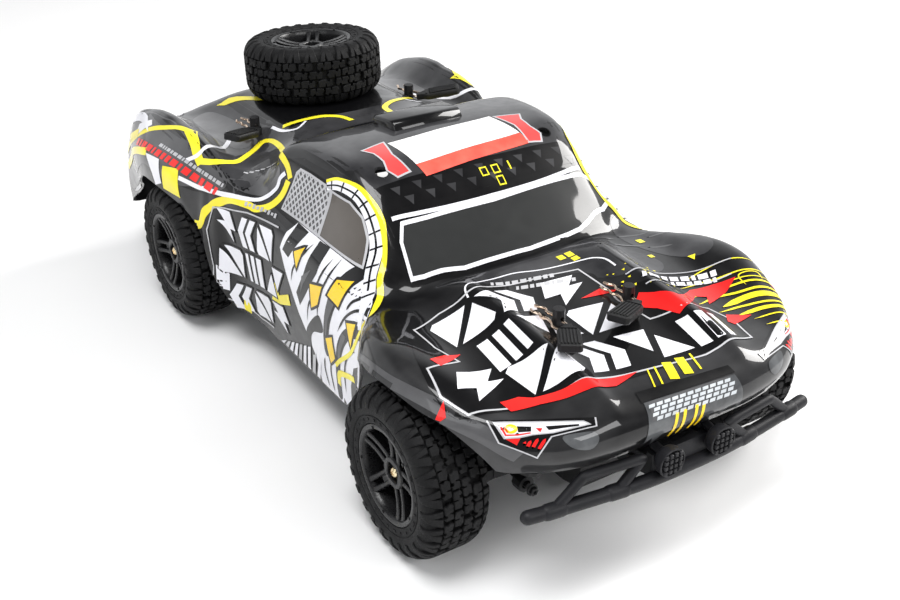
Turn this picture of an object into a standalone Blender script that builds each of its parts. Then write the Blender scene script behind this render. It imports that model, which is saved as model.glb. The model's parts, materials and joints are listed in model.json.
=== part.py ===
"""Radio-controlled four-wheel-drive short-course truck, modelled as its separate working pieces.

Units are metres in the finished scene.  The shapes are drawn in millimetres in the truck's own
frame and scaled once, when each piece is placed.  The truck faces -Y, its left side is +X and it
stands on Z = 0.  The frame's origin is midway between the axles, and the empty called truck moves
everything so that the world origin is the bottom centre of the whole truck.
"""
import math

import bmesh
import bpy
from mathutils import Matrix, Vector

MM = 0.001

# Driving dimensions, in millimetres.
FRAME_SHIFT_Y = -14.3
AXLE_Y = 135.0
WHEEL_X = 96.0
TYRE_RADIUS = 42.5
TYRE_WIDTH = 34.0
BEAD_RADIUS = 25.0
RIM_INNER_RADIUS = 21.5
RIM_EDGE = 15.5
HUB_RADIUS = 8.0
SPOKES = 5
WHEEL_SIDES = 24
AXLE_RADIUS = 3.0
HEX_FLATS = 12.0
GAP = 0.3
PIN = 1.5
PIN_HOLE = 1.9
ARM_INNER = (22.0, 30.0)
ARM_OUTER = (64.0, 27.5)
LINK_RISE = 32.5
KINGPIN_X = 70.0
STEER_ARM = 14.0
TIE_ROD_Z = 51.5
TIE_ROD_Y = -14.0
CENTRE_LINK_Y = -19.5
SHOCK_TOP = (34.0, 78.0)
SHOCK_FOOT = (50.0, 28.3)
SHOCK_Y = 22.5
TOWER_Y = 11.2
SHOCK_BODY_LENGTH = 34.0
SHAFT_Z = 38.0
GEAR_MODULE = 0.8
SPUR_TEETH = 40
PINION_TEETH = 15
GEAR_Y = 60.0
GEAR_WIDTH = 6.0
SHELL_WALL = 1.2
FRONT_POST = (21.0, -142.5)
REAR_POST = (54.0, 117.5)
POST_RADIUS = 3.0
POST_HOLE_RADIUS = 3.7
CLIP_FRONT_Z = 102.0
CLIP_REAR_Z = 121.0
CLIP_WIRE = 0.75
TAB_TURN = math.radians(28.0)
NEAR_TAB_TURN = math.radians(55.0)
TAB_LENGTH = 27.0
TAB_RISE = 0.17
BED_Z = 129.0
BED_FRONT_Y = 87.5
BED_SLOPE = math.radians(4.0)
SPARE_Y = 144.0
SERVO_X = 10.0
BAR_RADIUS = 3.3
LOOP_RADIUS = 2.5
BAR_Z = 52.5
LOOP_Z = 65.0
LAMP_X = 15.0
LAMP_Z = 63.5
LAMP_RADIUS = 7.2
ROOF_HOLE = (51.0, -31.5)
ROOF_HOLE_RADIUS = 3.4
TUB_FLOOR = 12.0
TUB_TOP = 24.0
TUB_WALL = 2.2
TUB_END = 160.0
SWEEP_HALF_WIDTH = 90.0


# ---------------------------------------------------------------- small solid-modelling helpers

def solid_from(bm):
    """Turn a bmesh into a working solid, a scene object that later steps may cut or join."""
    bmesh.ops.recalc_face_normals(bm, faces=bm.faces)
    mesh = bpy.data.meshes.new("solid")
    bm.to_mesh(mesh)
    bm.free()
    solid = bpy.data.objects.new("solid", mesh)
    bpy.context.scene.collection.objects.link(solid)
    return solid


def ring_solid(rings, closed=False):
    """Skin a list of point rings; an open run is capped at both ends."""
    bm = bmesh.new()
    loops = [[bm.verts.new(point) for point in ring] for ring in rings]
    count = len(loops[0])
    spans = len(loops) if closed else len(loops) - 1
    for i in range(spans):
        near = loops[i]
        far = loops[(i + 1) % len(loops)]
        for j in range(count):
            k = (j + 1) % count
            bm.faces.new((near[j], near[k], far[k], far[j]))
    if not closed:
        bm.faces.new(loops[0])
        bm.faces.new(loops[-1])
    return solid_from(bm)


def box(x_range, y_range, z_range):
    corners = [(x_range[0], y_range[0]), (x_range[1], y_range[0]),
               (x_range[1], y_range[1]), (x_range[0], y_range[1])]
    return ring_solid([[(x, y, z) for x, y in corners] for z in z_range])


def prism(outline, axis, low, high):
    """Extrude a 2-D outline along x, y or z; its points are the other two axes in order."""
    def at(a, b, c):
        return {"x": (c, a, b), "y": (a, c, b), "z": (a, b, c)}[axis]
    return ring_solid([[at(a, b, c) for a, b in outline] for c in (low, high)])


def circle(centre, radius, sides, start=0.0):
    return [(centre[0] + radius * math.cos(start + 2 * math.pi * i / sides),
             centre[1] + radius * math.sin(start + 2 * math.pi * i / sides)) for i in range(sides)]


def rod(start, end, radius, sides=None):
    """A round bar between two points, with sides to suit its radius unless they are given."""
    if sides is None:
        sides = 8 if radius < 2.0 else 10 if radius < 4.5 else 12
    start = Vector(start)
    end = Vector(end)
    turn = (end - start).to_track_quat("Z", "Y")
    rings = []
    for centre in (start, end):
        rings.append([centre + turn @ Vector((x, y, 0)) for x, y in circle((0, 0), radius, sides)])
    return ring_solid(rings)


def bent_rod(path, radius, sides=8):
    """A round bar that follows a path; its rings are mitred at the bends."""
    points = [Vector(p) for p in path]
    rings = []
    side = None
    for i, point in enumerate(points):
        before = points[max(i - 1, 0)]
        after = points[min(i + 1, len(points) - 1)]
        along = (after - before).normalized()
        if side is None:
            side = along.orthogonal().normalized()
        side = (side - along * side.dot(along)).normalized()
        up = along.cross(side)
        rings.append([point + side * x + up * y for x, y in circle((0, 0), radius, sides)])
    bar = ring_solid(rings)
    triangulate(bar.data)
    return bar


def turned(profile, centre, axis, sides=28):
    """Turn a closed profile of (distance along axis, radius) pairs about an axis through centre."""
    rings = []
    for i in range(sides):
        angle = 2 * math.pi * i / sides
        across = (math.cos(angle), math.sin(angle))
        ring = []
        for along, radius in profile:
            point = {"x": (along, radius * across[0], radius * across[1]),
                     "y": (radius * across[0], along, radius * across[1]),
                     "z": (radius * across[0], radius * across[1], along)}[axis]
            ring.append(Vector(centre) + Vector(point))
        rings.append(ring)
    return ring_solid(rings, closed=True)


def triangulate(mesh):
    bm = bmesh.new()
    bm.from_mesh(mesh)
    bmesh.ops.triangulate(bm, faces=bm.faces)
    bm.to_mesh(mesh)
    bm.free()


def boolean(target, tool, operation):
    """Join or cut one working solid with another, and use the tool up."""
    modifier = target.modifiers.new("boolean", "BOOLEAN")
    modifier.operation = operation
    modifier.solver = "EXACT"
    modifier.object = tool
    depsgraph = bpy.context.evaluated_depsgraph_get()
    mesh = bpy.data.meshes.new_from_object(target.evaluated_get(depsgraph))
    target.modifiers.clear()
    target.data = mesh
    bpy.data.objects.remove(tool)
    return target


def join(target, *tools):
    for tool in tools:
        target = boolean(target, tool, "UNION")
    return target


def cut(target, *tools):
    for tool in tools:
        target = boolean(target, tool, "DIFFERENCE")
    return target


def mapped(solid, matrix):
    """Move a working solid by a matrix, and keep its faces outward if the matrix mirrors it."""
    solid.data.transform(matrix)
    if matrix.determinant() < 0:
        solid.data.flip_normals()
    return solid


# ---------------------------------------------------------------- placing the finished pieces

MATERIALS = {
    "black_nylon": ((0.018, 0.018, 0.02), 0.55, 0.0),
    "tyre_rubber": ((0.012, 0.012, 0.012), 0.85, 0.0),
    "black_rim": ((0.014, 0.014, 0.015), 0.4, 0.0),
    "steel": ((0.55, 0.54, 0.52), 0.3, 1.0),
    "brass": ((0.75, 0.6, 0.3), 0.3, 1.0),
    "shell": ((0.03, 0.03, 0.033), 0.15, 0.0),
    "battery_wrap": ((0.02, 0.05, 0.25), 0.4, 0.0),
    "aluminium": ((0.6, 0.6, 0.62), 0.35, 1.0),
    "gear": ((0.7, 0.7, 0.66), 0.5, 0.0),
    "blue_plastic": ((0.02, 0.06, 0.3), 0.4, 0.0),
}


def material_for(name, finish):
    colour, roughness, metallic = MATERIALS[finish]
    material = bpy.data.materials.new(name)
    material.use_nodes = True
    shader = material.node_tree.nodes["Principled BSDF"]
    shader.inputs["Base Color"].default_value = (*colour, 1.0)
    shader.inputs["Roughness"].default_value = roughness
    shader.inputs["Metallic"].default_value = metallic
    return material


def place(solid, name, finish, pivot=(0.0, 0.0, 0.0)):
    """Name a finished piece, set its origin on its pivot and scale it to metres."""
    solid.name = name
    solid.data.name = name
    solid.data.transform(Matrix.Translation(-Vector(pivot)))
    solid.data.transform(Matrix.Scale(MM, 4))
    solid.location = Vector(pivot) * MM
    solid.parent = bpy.data.objects["truck"]
    solid.data.materials.clear()
    solid.data.materials.append(material_for(name, finish))
    solid.data.shade_smooth()
    solid.data.set_sharp_from_angle(angle=math.radians(35.0))
    return solid


def corner_matrix(side, end):
    """Corner pieces are drawn with X outward and Y away from the middle, from the axle line."""
    return Matrix(((side, 0, 0, 0), (0, end, 0, end * AXLE_Y), (0, 0, 1, 0), (0, 0, 0, 1)))


def corner_point(side, end, x, y, z):
    return (side * x, end * (AXLE_Y + y), z)


def corner_name(side, end):
    return ("front" if end < 0 else "rear") + ("_left" if side > 0 else "_right")


# ---------------------------------------------------------------- wheels

def tyre_solid(centre, axis, direction=1.0):
    half = TYRE_WIDTH / 2
    outer = [(-half + 1.0, BEAD_RADIUS), (-half, TYRE_RADIUS - 9.5),
             (-half + 0.8, TYRE_RADIUS - 3.5), (-half + 3.2, TYRE_RADIUS)]
    inner = [(11.0, TYRE_RADIUS - 5.0), (12.0, BEAD_RADIUS)]
    outline = outer + [(-a, r) for a, r in reversed(outer)]
    outline += [(a, r) for a, r in reversed(inner)] + [(-a, r) for a, r in inner]
    return turned([(direction * a, r) for a, r in outline], centre, axis, WHEEL_SIDES)


def rim_solid(centre, axis, direction=1.0):
    """Barrel, face with openings between the spokes, and hub; direction points outboard."""
    barrel = BEAD_RADIUS - GAP
    profile = [(-RIM_EDGE + 1, barrel), (RIM_EDGE, barrel), (RIM_EDGE - 1.5, 19.5),
               (RIM_EDGE - 3.5, HUB_RADIUS), (RIM_EDGE - 6.5, 5.0), (RIM_EDGE - 6.5, AXLE_RADIUS + GAP),
               (5.0, AXLE_RADIUS + GAP), (5.0, HUB_RADIUS + 1.2), (RIM_EDGE - 7.0, HUB_RADIUS + 1.2),
               (RIM_EDGE - 5.5, RIM_INNER_RADIUS), (-RIM_EDGE + 1, RIM_INNER_RADIUS)]
    rim = turned([(direction * a, r) for a, r in profile], centre, axis, WHEEL_SIDES)
    for i in range(SPOKES):
        angle = 2 * math.pi * (i + 0.5) / SPOKES + math.pi / 2
        rim = cut(rim, window(centre, axis, direction, angle))
    return rim


def window(centre, axis, direction, angle):
    """A cutter for one opening between spokes."""
    reach = [(11.0, -0.2), (18.4, -0.38), (18.4, 0.38), (11.0, 0.2)]
    outline = [(r * math.cos(angle + a), r * math.sin(angle + a)) for r, a in reach]
    low = direction * (RIM_EDGE - 9.0)
    high = direction * (RIM_EDGE + 3.0)
    cutter = prism(outline, axis, min(low, high), max(low, high))
    return mapped(cutter, Matrix.Translation(centre))


def axle_solid(side, y, centre_z):
    """Stub axle with its drive hex and the screw that holds the wheel."""
    flats = HEX_FLATS / 2 / math.cos(math.pi / 6)
    screw_seat = WHEEL_X + RIM_EDGE - 6.5 + GAP
    axle = rod((side * 66.6, y, centre_z), (side * screw_seat, y, centre_z), AXLE_RADIUS)
    drive_hex = prism(circle((y, centre_z), flats, 6), "x",
                      *sorted((side * (WHEEL_X - 3.0), side * (WHEEL_X + 4.6))))
    screw = rod((side * (screw_seat - 0.05), y, centre_z),
                (side * (screw_seat + 3.2), y, centre_z), 4.2)
    return join(axle, drive_hex, screw)


def build_wheels():
    for end in (-1, 1):
        for side in (-1, 1):
            name = corner_name(side, end)
            centre = (side * WHEEL_X, end * AXLE_Y, TYRE_RADIUS)
            place(tyre_solid(centre, "x", side), name + "_tyre", "tyre_rubber", centre)
            place(rim_solid(centre, "x", side), name + "_rim", "black_rim", centre)
            axle = axle_solid(side, centre[1], centre[2])
            place(axle, name + "_axle", "brass", centre)


def build_spare():
    """The spare wheel lies on the sloping bed, its outer face up."""
    lean = Matrix.Rotation(-BED_SLOPE, 4, "X")
    seat_z = BED_Z - (SPARE_Y - BED_FRONT_Y) * math.tan(BED_SLOPE)
    lift = (TYRE_WIDTH / 2 + GAP) / math.cos(BED_SLOPE)
    centre = Vector((0.0, SPARE_Y, seat_z + lift))
    move = Matrix.Translation(centre) @ lean
    place(mapped(tyre_solid((0, 0, 0), "z"), move), "spare_tyre", "tyre_rubber", centre)
    place(mapped(rim_solid((0, 0, 0), "z"), move), "spare_rim", "black_rim", centre)


# ---------------------------------------------------------------- suspension

def lower_arm():
    xi, zi = ARM_INNER
    xo, zo = ARM_OUTER
    slope = (zo - zi) / (xo - xi)

    def height(x):
        return zi + slope * (x - xi)

    plate = prism([(xi, height(xi) - 2.4), (xo - 5.6, height(xo - 5.6) - 2.4),
                   (xo - 5.6, height(xo - 5.6) + 2.4), (xi, height(xi) + 2.4)], "y", -15.2, 15.2)
    trim = prism([(xi + 3, 15.3), (xo - 4, 10.2), (xo - 4, 18.0), (xi + 3, 18.0)], "z", 10, 50)
    trim_back = prism([(xi + 3, -15.3), (xo - 4, -10.2), (xo - 4, -18.0), (xi + 3, -18.0)], "z", 10, 50)
    opening = prism([(xi + 7, -9.0), (xo - 12, -5.5), (xo - 12, 5.5), (xi + 7, 9.0)], "z", 10, 50)
    arm = cut(plate, trim, trim_back, opening)
    arm = join(arm, rod((xi, -15.5, zi), (xi, 15.5, zi), 3.6))
    for y in (6.0, -10.0):
        finger = prism([(xo - 8, height(xo - 8) - 2.4), (xo, zo - 3.5), (xo + 2.5, zo - 2.5),
                        (xo + 3.5, zo), (xo + 2.5, zo + 2.5), (xo, zo + 3.5),
                        (xo - 8, height(xo - 8) + 2.4)], "y", y, y + 4.0)
        arm = join(arm, finger)
    foot_x, foot_z = SHOCK_FOOT
    arm = join(arm, rod((foot_x, 8.0, foot_z), (foot_x, SHOCK_Y + 4.5, foot_z), PIN))
    arm = cut(arm, rod((xi, -20, zi), (xi, 20, zi), PIN_HOLE))
    return cut(arm, rod((xo, -20, zo), (xo, 20, zo), PIN_HOLE))


def hub_carrier_base():
    """Lower hinge barrel with its pin, shared by both kinds of carrier."""
    xo, zo = ARM_OUTER
    barrel = rod((xo, -5.5, zo), (xo, 5.5, zo), 3.4)
    return join(barrel, rod((xo, -10.4, zo), (xo, 10.4, zo), PIN))


def link_lug():
    """Lug and pin on top of a carrier, for the camber link's outer end."""
    x, z = ARM_OUTER[0] + 2.0, ARM_OUTER[1] + LINK_RISE
    lug = prism([(x - 4, 53.0), (x + 4, 53.0), (x + 3.0, z + 2.8), (x - 3.0, z + 2.8)], "y", -5.0, -0.6)
    return join(lug, rod((x, -1.5, z), (x, 6.6, z), PIN))


def front_carrier():
    """C-shaped carrier: a web with the drive bone's hole, and two horns with the king pins."""
    carrier = hub_carrier_base()
    web = box((61.0, 64.8), (-5.4, 5.4), (29.6, 54.5))
    horns = [box((61.5, 75.0), (-5.0, 5.0), z) for z in ((30.0, 34.0), (51.0, 54.6))]
    pins = [rod((KINGPIN_X, 0, z0), (KINGPIN_X, 0, z1), PIN) for z0, z1 in ((32, 38), (47, 53))]
    carrier = join(carrier, web, *horns, *pins, link_lug())
    return cut(carrier, rod((58, 0, TYRE_RADIUS), (66, 0, TYRE_RADIUS), 5.0))


def rear_carrier():
    carrier = hub_carrier_base()
    block = box((60.6, 77.0), (-5.4, 5.4), (29.6, 54.5))
    carrier = join(carrier, block, link_lug())
    return cut(carrier, rod((58, 0, TYRE_RADIUS), (80, 0, TYRE_RADIUS), AXLE_RADIUS + 0.4))


def knuckle():
    block = box((66.6, 76.5), (-4.5, 4.5), (35.0, 50.0))
    arm = box((67.0, 73.0), (TIE_ROD_Y - 3.0, -4.0), (44.0, 48.0))
    stud = rod((KINGPIN_X, TIE_ROD_Y, 47.0), (KINGPIN_X, TIE_ROD_Y, TIE_ROD_Z + 3.6), 1.3)
    piece = join(block, arm, stud)
    bore = rod((64, 0, TYRE_RADIUS), (80, 0, TYRE_RADIUS), AXLE_RADIUS + 0.4)
    low_hole = rod((KINGPIN_X, 0, 34), (KINGPIN_X, 0, 39), PIN_HOLE)
    high_hole = rod((KINGPIN_X, 0, 46), (KINGPIN_X, 0, 51), PIN_HOLE)
    return cut(piece, bore, low_hole, high_hole)


def camber_link():
    inner = (ARM_INNER[0] + 2.0, 3.5, ARM_INNER[1] + LINK_RISE)
    outer = (ARM_OUTER[0] + 2.0, 3.5, ARM_OUTER[1] + LINK_RISE)
    link = rod(inner, outer, 1.8)
    for x, y, z in (inner, outer):
        link = join(link, rod((x, 1.0, z), (x, 6.0, z), 3.6))
    for x, y, z in (inner, outer):
        link = cut(link, rod((x, 0, z), (x, 8, z), PIN_HOLE))
    return link


def shock_axis():
    top = Vector((SHOCK_TOP[0], SHOCK_Y, SHOCK_TOP[1]))
    foot = Vector((SHOCK_FOOT[0], SHOCK_Y, SHOCK_FOOT[1]))
    return top, (foot - top).normalized(), (foot - top).length


def shock_body():
    top, down, length = shock_axis()
    eye = rod(top - Vector((0, 3, 0)), top + Vector((0, 3, 0)), 4.2)
    barrel = rod(top + down * 3.0, top + down * SHOCK_BODY_LENGTH, 5.6)
    collar = rod(top + down * 9.0, top + down * 12.5, 7.8)
    body = join(eye, barrel, collar)
    bore = rod(top + down * 14.0, top + down * (SHOCK_BODY_LENGTH + 2), PIN_HOLE)
    return cut(body, bore, rod(top - Vector((0, 5, 0)), top + Vector((0, 5, 0)), PIN_HOLE))


def shock_rod():
    top, down, length = shock_axis()
    foot = top + down * length
    stem = rod(top + down * 22.0, foot - down * 3.0, PIN)
    perch = rod(foot - down * 8.6, foot - down * 6.4, 7.6)
    eye = rod(foot - Vector((0, 3, 0)), foot + Vector((0, 3, 0)), 4.4)
    piece = join(stem, perch, eye)
    return cut(piece, rod(foot - Vector((0, 5, 0)), foot + Vector((0, 5, 0)), PIN_HOLE + 0.5))


def build_suspension():
    link_in = (ARM_INNER[0] + 2.0, 3.5, ARM_INNER[1] + LINK_RISE)
    top, down, length = shock_axis()
    foot = top + down * length
    for end in (-1, 1):
        for side in (-1, 1):
            name = corner_name(side, end)
            matrix = corner_matrix(side, end)
            pieces = [(lower_arm(), "_lower_arm", "black_nylon", (ARM_INNER[0], 0, ARM_INNER[1])),
                      (camber_link(), "_camber_link", "black_nylon", link_in),
                      (shock_body(), "_shock_body", "aluminium", top),
                      (shock_rod(), "_shock_rod", "steel", foot)]
            carrier_origin = (ARM_OUTER[0], 0, ARM_OUTER[1])
            if end < 0:
                pieces.append((front_carrier(), "_hub_carrier", "black_nylon", carrier_origin))
                pieces.append((knuckle(), "_steering_knuckle", "black_nylon", (KINGPIN_X, 0, TYRE_RADIUS)))
            else:
                pieces.append((rear_carrier(), "_hub_carrier", "black_nylon", carrier_origin))
            for solid, suffix, finish, origin in pieces:
                place(mapped(solid, matrix), name + suffix, finish, corner_point(side, end, *origin))


# ---------------------------------------------------------------- steering


def tie_rod():
    """Runs beside the gearbox to the steering arm; its outer eye has room round the stud."""
    y = TIE_ROD_Y
    inner = (ARM_INNER[0] + 6.0, y, TIE_ROD_Z + 2.5)
    outer = (KINGPIN_X, y, TIE_ROD_Z)
    bar = rod(inner, outer, 1.6)
    eye_in = rod((inner[0], y - 2, inner[2]), (inner[0], y + 2, inner[2]), 3.3)
    eye_out = rod((outer[0], y, outer[2] - 2), (outer[0], y, outer[2] + 2), 4.6)
    bar = join(bar, eye_in, eye_out)
    return cut(bar, rod((inner[0], y - 4, inner[2]), (inner[0], y + 4, inner[2]), PIN_HOLE),
               rod((outer[0], y, outer[2] - 4), (outer[0], y, outer[2] + 4), 2.9))


def centre_link():
    """The bar that the servo pushes from side to side, with a stud for each tie rod."""
    y = -(AXLE_Y + CENTRE_LINK_Y)
    z = TIE_ROD_Z + 2.5
    bar = box((-31.5, 31.5), (y - 2.3, y + 2.3), (z - 2.5, z + 2.5))
    boss = rod((SERVO_X, y, z - 2.5), (SERVO_X, y, z + 2.45), 5.2)
    bar = join(bar, boss)
    for side in (-1, 1):
        x = side * (ARM_INNER[0] + 6.0)
        bar = join(bar, rod((x, y - 1, z), (x, -(AXLE_Y + TIE_ROD_Y) - 2.6, z), PIN))
    return cut(bar, rod((SERVO_X, y, z - 5), (SERVO_X, y, z + 5), 2.9))


def servo_horn():
    y = -(AXLE_Y + CENTRE_LINK_Y)
    shaft_y = y + STEER_ARM
    z = TIE_ROD_Z + 5.6
    hub = rod((SERVO_X, shaft_y, z - 1), (SERVO_X, shaft_y, z + 3.2), 4.6)
    lever = box((SERVO_X - 2.4, SERVO_X + 2.4), (y - 2.4, shaft_y), (z, z + 2.6))
    pin = rod((SERVO_X, y, z + 1), (SERVO_X, y, z - 5.5), 1.3)
    horn = join(hub, lever, pin)
    return cut(horn, rod((SERVO_X, shaft_y, z - 3), (SERVO_X, shaft_y, z + 5), 2.9))


def steering_servo():
    y = -(AXLE_Y + CENTRE_LINK_Y) + STEER_ARM
    case = box((SERVO_X - 6, SERVO_X + 6), (y - 8, y + 15), (14.9, 48.0))
    flange = box((SERVO_X - 6.05, SERVO_X + 6.05), (y - 10.5, y + 17.5), (36.0, 38.0))
    shaft = rod((SERVO_X, y, 47.0), (SERVO_X, y, TIE_ROD_Z + 9.4), 2.5)
    collar = rod((SERVO_X, y, 47.0), (SERVO_X, y, 52.0), 4.4)
    return join(case, flange, shaft, collar)


def build_steering():
    link_y = -(AXLE_Y + CENTRE_LINK_Y)
    for side, name in ((1, "left"), (-1, "right")):
        origin = corner_point(side, -1, ARM_INNER[0] + 6.0, TIE_ROD_Y, TIE_ROD_Z + 2.5)
        place(mapped(tie_rod(), corner_matrix(side, -1)), "tie_rod_" + name, "steel", origin)
    place(centre_link(), "steering_centre_link", "black_nylon", (0, link_y, TIE_ROD_Z + 2.5))
    place(servo_horn(), "servo_horn", "black_nylon", (SERVO_X, link_y + STEER_ARM, TIE_ROD_Z + 5.6))
    place(steering_servo(), "steering_servo", "black_nylon")


# ---------------------------------------------------------------- driveline

def gear_outline(teeth, centre, phase):
    """Involute spur gear outline with a little backlash; phase turns a tooth to an angle."""
    pitch = GEAR_MODULE * teeth / 2
    base = pitch * math.cos(math.radians(20.0))
    root = pitch - 1.1 * GEAR_MODULE
    tip = pitch + 0.85 * GEAR_MODULE

    def half_angle(radius):
        def involute(angle):
            return math.tan(angle) - angle
        pressure = math.acos(min(1.0, base / max(radius, base)))
        return math.pi / (2 * teeth) * 0.88 + involute(math.radians(20.0)) - involute(pressure)

    outline = []
    for i in range(teeth):
        middle = phase + 2 * math.pi * i / teeth
        steps = [(root, -half_angle(base)), (tip, -half_angle(tip))]
        steps += [(r, -a) for r, a in reversed(steps)]
        outline += [(centre[0] + r * math.cos(middle + a), centre[1] + r * math.sin(middle + a))
                    for r, a in steps]
    return outline


def build_driveline():
    spread = GEAR_MODULE * (SPUR_TEETH + PINION_TEETH) / 2
    motor_x = -spread
    spur = prism(gear_outline(SPUR_TEETH, (0, SHAFT_Z), math.pi), "y", GEAR_Y, GEAR_Y + GEAR_WIDTH)
    spur = cut(spur, rod((0, GEAR_Y - 2, SHAFT_Z), (0, GEAR_Y + GEAR_WIDTH + 2, SHAFT_Z), 2.9))
    place(spur, "spur_gear", "gear", (0, GEAR_Y, SHAFT_Z))
    reach = AXLE_Y - 18.6
    shaft = rod((0, -reach, SHAFT_Z), (0, reach, SHAFT_Z), 2.5)
    place(shaft, "centre_shaft", "steel", (0, 0, SHAFT_Z))
    half_pitch = math.pi / PINION_TEETH
    outline = gear_outline(PINION_TEETH, (motor_x, SHAFT_Z), half_pitch)
    pinion = prism(outline, "y", GEAR_Y + 0.3, GEAR_Y + GEAR_WIDTH + 0.8)
    stub = rod((motor_x, GEAR_Y - 5.5, SHAFT_Z), (motor_x, GEAR_Y + 9.0, SHAFT_Z), 1.6)
    place(join(pinion, stub), "motor_pinion", "brass", (motor_x, GEAR_Y, SHAFT_Z))
    can = rod((motor_x, GEAR_Y - 45.0, SHAFT_Z), (motor_x, GEAR_Y - 7.5, SHAFT_Z), 13.8, 24)
    nose = rod((motor_x, GEAR_Y - 8.0, SHAFT_Z), (motor_x, GEAR_Y - 5.9, SHAFT_Z), 5.0)
    place(join(can, nose), "drive_motor", "steel")


def gearbox(end):
    """Differential case with the lugs and pins that the lower arms swing on."""
    case = prism([(-15, 15.0), (15, 15.0), (15, 44.0), (10, 50.0), (-10, 50.0), (-15, 44.0)],
                 "y", -17.0, 17.0)
    snout = rod((0, -18.3, SHAFT_Z), (0, -15, SHAFT_Z), 6.0)
    case = join(case, snout)
    x, z = ARM_INNER
    for side in (-1, 1):
        for y in (16.0, -19.4):
            span = sorted((side * 12.0, side * (x + 3.4)))
            case = join(case, box(span, (y, y + 3.4), (z - 3.6, z + 3.6)))
        case = join(case, rod((side * x, -18, z), (side * x, 18, z), PIN))
        case = join(case, rod((side * 14, 0, 40.5), (side * 19.5, 0, 40.5), 4.6))
        case = cut(case, rod((side * 15.5, 0, 40.5), (side * 20.5, 0, 40.5), 3.0))
    return mapped(case, corner_matrix(1, end))


def shock_tower(end):
    """Flat plate on the gearbox with a pin for each shock and each camber link."""
    half = [(28, 50.5), (29, 64), (25, 68), (39, 75), (39, 82), (30, 85), (16, 76)]
    outline = [(x, z) for x, z in half] + [(-x, z) for x, z in reversed(half)]
    plate = prism(outline, "y", TOWER_Y, TOWER_Y + 3.5)
    x, z = SHOCK_TOP
    link_x = ARM_INNER[0] + 2.0
    link_z = ARM_INNER[1] + LINK_RISE
    for side in (-1, 1):
        plate = join(plate, rod((side * x, TOWER_Y + 1, z), (side * x, SHOCK_Y + 4.5, z), PIN))
        plate = join(plate, rod((side * link_x, 0.5, link_z), (side * link_x, TOWER_Y + 1, link_z), PIN))
    plate = cut(plate, rod((0, 5, 64), (0, 20, 64), 7.0))
    return mapped(plate, corner_matrix(1, end))


def build_frame():
    half = [(-TUB_END, 17.0), (-150.0, 19.5), (-113.0, 19.5), (-94.0, 38.0),
            (94.0, 38.0), (113.0, 19.5), (150.0, 19.5), (TUB_END, 17.0)]
    outline = [(x, y) for y, x in half] + [(-x, y) for y, x in reversed(half)]
    inner = [(math.copysign(abs(x) - TUB_WALL, x), y * (1 - TUB_WALL / TUB_END)) for x, y in outline]
    tub = cut(prism(outline, "z", TUB_FLOOR, TUB_TOP), prism(inner, "z", TUB_FLOOR + 2.5, TUB_TOP + 6))
    spread = GEAR_MODULE * (SPUR_TEETH + PINION_TEETH) / 2
    cradle = box((-spread - 9, -spread + 9), (20, 48), (13.0, 29.0))
    cradle = cut(cradle, rod((-spread, 18, SHAFT_Z), (-spread, 50, SHAFT_Z), 14.2, 24))
    place(join(tub, cradle), "chassis_tub", "black_nylon")
    place(gearbox(-1), "front_gearbox", "black_nylon")
    place(gearbox(1), "rear_gearbox", "black_nylon")
    place(shock_tower(-1), "front_shock_tower", "black_nylon")
    place(shock_tower(1), "rear_shock_tower", "black_nylon")
    battery = box((6.0, 34.5), (-62, 46), (14.8, 38.0))
    place(battery, "battery_pack", "battery_wrap")
    controller = join(box((-34.0, -6.0), (-82, -38), (14.8, 30.0)),
                      box((-31.0, -9.0), (-78, -42), (29.5, 36.0)))
    place(controller, "speed_controller", "blue_plastic")


# ---------------------------------------------------------------- bumper and body mounts


def front_bumper():
    """Bent main bar, a raised loop each side, the centre bracket and two round lamps."""
    bar = [(-82.0, -204.5), (-62.0, -207.8), (-28.0, -212.1), (0.0, -213.0),
           (28.0, -212.1), (62.0, -207.8), (82.0, -204.5)]
    bumper = bent_rod([(x, y, BAR_Z) for x, y in bar], BAR_RADIUS, 10)
    for side in (-1, 1):
        loop = [(69.0, -206.6, BAR_Z), (56.0, -207.5, LOOP_Z),
                (26.0, -211.0, LOOP_Z), (38.0, -210.9, BAR_Z)]
        lamp = rod((side * LAMP_X, -213.0, LAMP_Z), (side * LAMP_X, -219.5, LAMP_Z), LAMP_RADIUS, 16)
        stalk = rod((side * 15.2, -209.2, LAMP_Z - 4.4), (side * 15.2, -214.3, LAMP_Z - 4.4), 2.6)
        bumper = join(bumper, bent_rod([(side * x, y, z) for x, y, z in loop], LOOP_RADIUS, 10), lamp, stalk)
    bracket = prism([(-154.3, 38.0), (-154.3, 46.0), (-180.0, 52.0), (-206.0, 57.5), (-208.0, 64.5),
                     (-211.1, 64.3), (-212.3, 53.0), (-180.0, 46.8)], "x", -19.4, 19.4)
    return join(bumper, bracket)


def body_mount(post, bar_z, clip_z, seat_drop):
    """Crossbar with two posts that carry the shell, each drilled for its clip."""
    x, y = post
    mount = box((-x - 3, x + 3), (y - 2.9, y + 2.9), (bar_z, bar_z + 4.5))
    seat = shell_height(x, y) - SHELL_WALL - seat_drop
    for side in (-1, 1):
        foot = (side * x, y, bar_z + 1.5)
        mount = join(mount, rod(foot, (side * x, y, clip_z + 4.5), POST_RADIUS),
                     rod(foot, (side * x, y, seat), POST_RADIUS + 0.5))
    for side in (-1, 1):
        mount = cut(mount, rod((side * x, y - 5, clip_z), (side * x, y + 5, clip_z), 1.2))
    return mount


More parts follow.
